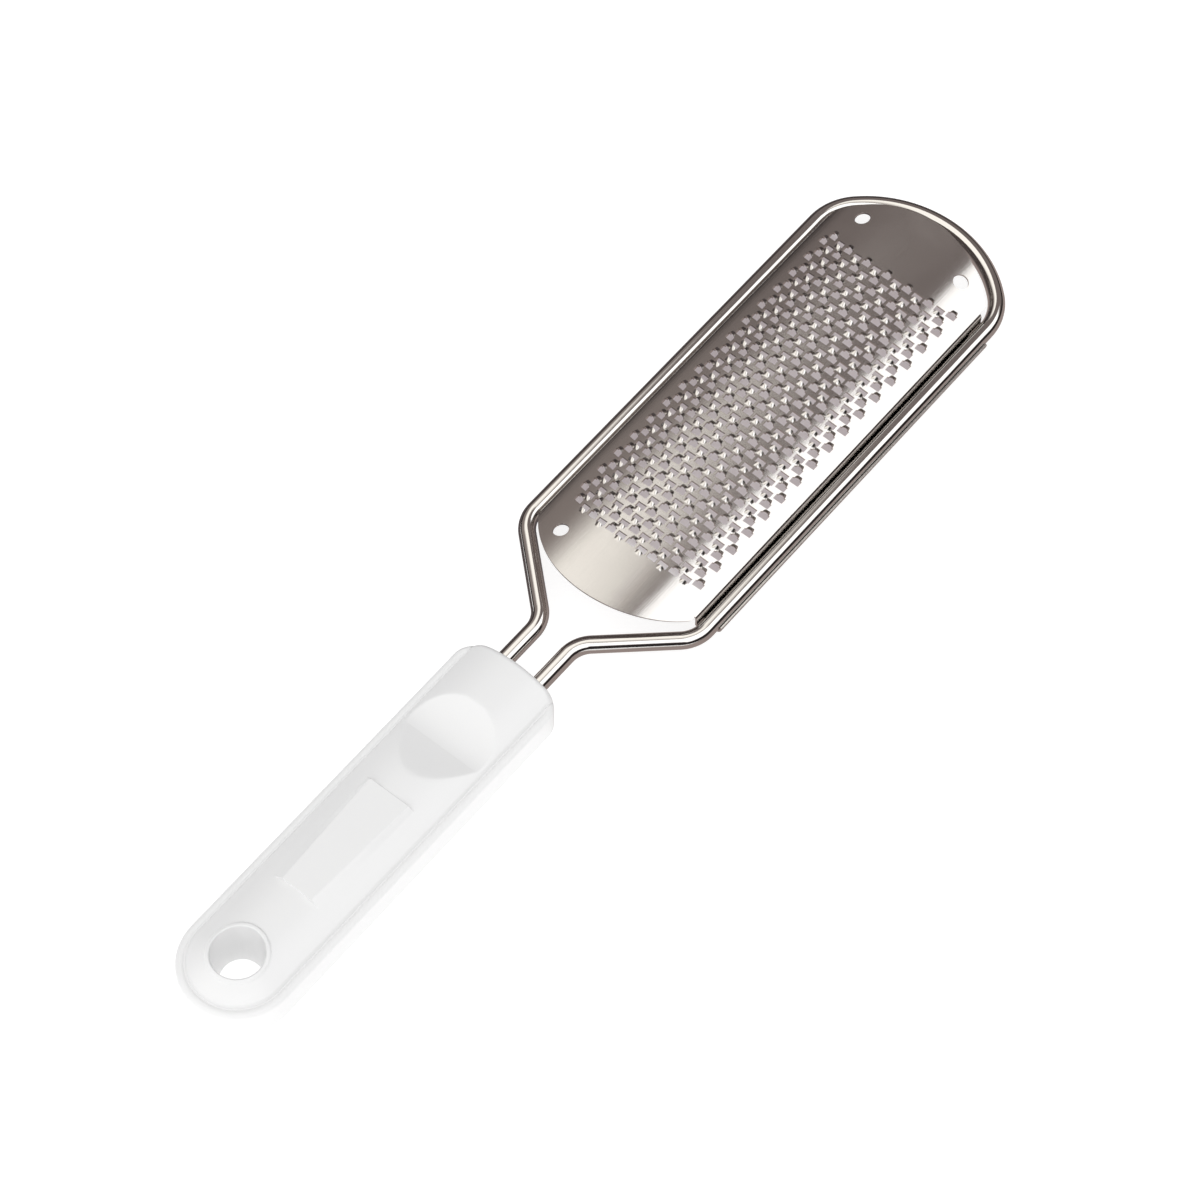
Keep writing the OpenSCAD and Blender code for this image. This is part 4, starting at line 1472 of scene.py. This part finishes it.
# the room, and what stands before it, from the back to the front: colours, and edges as parts with their
# values where the colour is off and where it is full
DARK_ROOM = (0.218, 0.184, 0.176)
ROOM_LAYERS = (
    # the same room, less dark away from the tip
    ((0.31, 0.267, 0.25), (("slant", 0.43, 0.39),)),
    # a warm bright panel on the far side
    ((1.50, 1.46, 1.38), (("y", -0.22, 0.16), ("far", 0.80, 0.56), ("slant", 0.43, 0.39))),
    # a white wall on the near side
    ((1.8, 1.8, 1.8), (("y", -0.15, -0.19), ("x", 0.80, 0.68))),
    # a low dark card behind the handle, on the near side
    ((0.05, 0.04, 0.04), (("x", -0.40, -0.50), ("y", -0.38, -0.48), ("z", 0.68, 0.58))),
    # a dark skirting all round, highest on the near side
    ((0.03, 0.025, 0.025), (("low", 0.31, 0.21),)),
)
# soft light on dull surfaces: its base, and what each part of the direction that it comes from adds
SOFT_BASE = 0.46
SOFT_SHARES = (("z", 0.76), ("x", -0.45), ("y", -0.20))


def mirrored_room(tree, parts):
    """The room that steel mirrors, as a colour for each direction."""
    x, y, z = (parts[name] for name in "xyz")
    near_side = calculate(tree, "MINIMUM", y, 0.0)
    past_corner = calculate(tree, "MAXIMUM", calculate(tree, "SUBTRACT", x, FAR_CORNER), 0.0)
    for name, start, value, share in (
        ("slant", x, y, -SLANT_SHARE), ("low", z, near_side, LOW_SHARE), ("far", y, past_corner, FAR_TIMES),
    ):
        parts[name] = calculate(tree, "ADD", start, calculate(tree, "MULTIPLY", value, share))
    room = DARK_ROOM
    for colour, edges in ROOM_LAYERS:
        room = blend(tree, masked(tree, parts, edges), room, colour)
    return room


def soft_light(tree, parts, strength):
    """Grey light on dull surfaces, strongest from above, from the handle's end and from the near side."""
    light = SOFT_BASE
    for name, share in SOFT_SHARES:
        light = calculate(tree, "ADD", light, calculate(tree, "MULTIPLY", parts[name], share))
    light = calculate(tree, "MULTIPLY", light, strength)
    grey = node(tree, "ShaderNodeCombineColor")
    for socket in grey.inputs[:3]:
        tree.links.new(light, socket)
    return grey.outputs[0]


def studio_light(studio):
    """The world: soft light for dull surfaces, the room that steel mirrors, and white behind the tool."""
    world = bpy.data.worlds.new("Studio")
    bpy.context.scene.world = world
    world.use_nodes = True
    tree = world.node_tree
    tree.nodes.clear()
    _, parts = coordinates(tree, "Generated")
    paths = node(tree, "ShaderNodeLightPath")
    soft = soft_light(tree, parts, studio.room_light)
    lit = blend(tree, paths.outputs["Is Glossy Ray"], soft, mirrored_room(tree, parts))
    lit = blend(tree, paths.outputs["Is Camera Ray"], lit, (1.0, 1.0, 1.0))
    light = node(tree, "ShaderNodeBackground")
    out = node(tree, "ShaderNodeOutputWorld")
    tree.links.new(lit, light.inputs["Color"])
    tree.links.new(light.outputs[0], out.inputs["Surface"])
    lay_out(tree)


def put_camera(studio):
    """The camera at the photograph's angle, aimed close to the tool's middle."""
    az, el = studio.azimuth, studio.elevation
    right = Vector((math.cos(az), -math.sin(az), 0))
    up = Vector((math.sin(az) * math.sin(el), math.cos(az) * math.sin(el), math.cos(el)))
    ahead = Vector((math.sin(az) * math.cos(el), math.cos(az) * math.cos(el), -math.sin(el)))
    aim = right * studio.aim[0] + up * studio.aim[1] + Vector((0, 0, studio.aim[2]))
    camera = bpy.data.cameras.new("Camera")
    camera.lens = studio.lens
    camera.sensor_width = 36.0
    camera.clip_start = 0.01
    camera.clip_end = 50.0
    holder = bpy.data.objects.new("Camera", camera)
    turned = Matrix((right, up, -ahead)).transposed().to_4x4()
    holder.matrix_world = Matrix.Translation(aim - ahead * studio.distance) @ turned
    bpy.context.scene.collection.objects.link(holder)
    bpy.context.scene.camera = holder


class FOOTFILE_OT_stage(bpy.types.Operator):
    """Lays the pale floor, sets the light and puts the camera at the photograph's angle"""

    bl_idname = "footfile.stage"
    bl_label = "Studio"

    def execute(self, context):
        studio = context.scene.foot_file_studio
        half = studio.floor_l / 2
        mesh = bpy.data.meshes.new("floor")
        corners = [(-half, -half, 0), (half, -half, 0), (half, half, 0), (-half, half, 0)]
        mesh.from_pydata(corners, [], [(0, 1, 2, 3)])
        mesh.materials.append(floor_material())
        floor = bpy.data.objects.new("floor", mesh)
        context.scene.collection.objects.link(floor)
        studio_light(studio)
        put_camera(studio)
        context.scene.view_settings.view_transform = "Standard"
        return {"FINISHED"}


class FOOTFILE_OT_rasp_plate(bpy.types.Operator):
    """Builds the crowned rasp plate with its teeth, holes and rolled hems"""

    bl_idname = "footfile.rasp_plate"
    bl_label = "Rasp plate"

    def execute(self, context):
        skin = rasp_plate_skin(context.scene)
        skin.make("rasp_plate_sheet", plate_material(context.scene.foot_file_finishes), "plate", "rasp_plate")
        return {"FINISHED"}


class FOOTFILE_OT_wire_frame(bpy.types.Operator):
    """Builds the bent wire that carries the plate"""

    bl_idname = "footfile.wire_frame"
    bl_label = "Wire frame"

    def execute(self, context):
        skin = wire_skin(context.scene)
        skin.make("wire_loop", wire_material(context.scene.foot_file_finishes), "wire", "wire_frame")
        return {"FINISHED"}


class FOOTFILE_OT_handle_body(bpy.types.Operator):
    """Builds the lower moulding of the handle"""

    bl_idname = "footfile.handle_body"
    bl_label = "Handle body"

    def execute(self, context):
        skin = handle_body_skin(context.scene)
        skin.make("handle_lower", handle_material(context.scene.foot_file_finishes), "handle", "handle_body")
        return {"FINISHED"}


class FOOTFILE_OT_handle_cover(bpy.types.Operator):
    """Builds the upper moulding of the handle, with its thumb dish and bare pad"""

    bl_idname = "footfile.handle_cover"
    bl_label = "Handle cover"

    def execute(self, context):
        skin = handle_cover_skin(context.scene)
        skin.make("handle_upper", handle_material(context.scene.foot_file_finishes), "handle", "handle_cover")
        return {"FINISHED"}


class FOOTFILE_PT_panel(bpy.types.Panel):
    """Lists the pieces in the order in which they are built"""

    bl_idname = "FOOTFILE_PT_panel"
    bl_label = "Foot File"
    bl_space_type = "VIEW_3D"
    bl_region_type = "UI"
    bl_category = "Foot File"

    def draw(self, context):
        for operator in OPERATORS:
            self.layout.operator(operator.bl_idname)


GROUPS = {
    "foot_file_plate": PlateSizes,
    "foot_file_teeth": TeethSizes,
    "foot_file_wire": WireSizes,
    "foot_file_body": BodySizes,
    "foot_file_cover": CoverSizes,
    "foot_file_finishes": Finishes,
    "foot_file_studio": StudioSizes,
}
OPERATORS = (
    FOOTFILE_OT_stage,
    FOOTFILE_OT_rasp_plate,
    FOOTFILE_OT_wire_frame,
    FOOTFILE_OT_handle_body,
    FOOTFILE_OT_handle_cover,
)


def register():
    for name, group in GROUPS.items():
        bpy.utils.register_class(group)
        setattr(bpy.types.Scene, name, bpy.props.PointerProperty(type=group))
    for made in (*OPERATORS, FOOTFILE_PT_panel):
        bpy.utils.register_class(made)


def unregister():
    for made in (FOOTFILE_PT_panel, *reversed(OPERATORS)):
        bpy.utils.unregister_class(made)
    for name, group in reversed(GROUPS.items()):
        delattr(bpy.types.Scene, name)
        bpy.utils.unregister_class(group)


def main():
    """Builds the studio and every piece."""
    register()
    bpy.ops.footfile.stage()
    bpy.ops.footfile.rasp_plate()
    bpy.ops.footfile.wire_frame()
    bpy.ops.footfile.handle_body()
    bpy.ops.footfile.handle_cover()


if __name__ == "__main__":
    main()
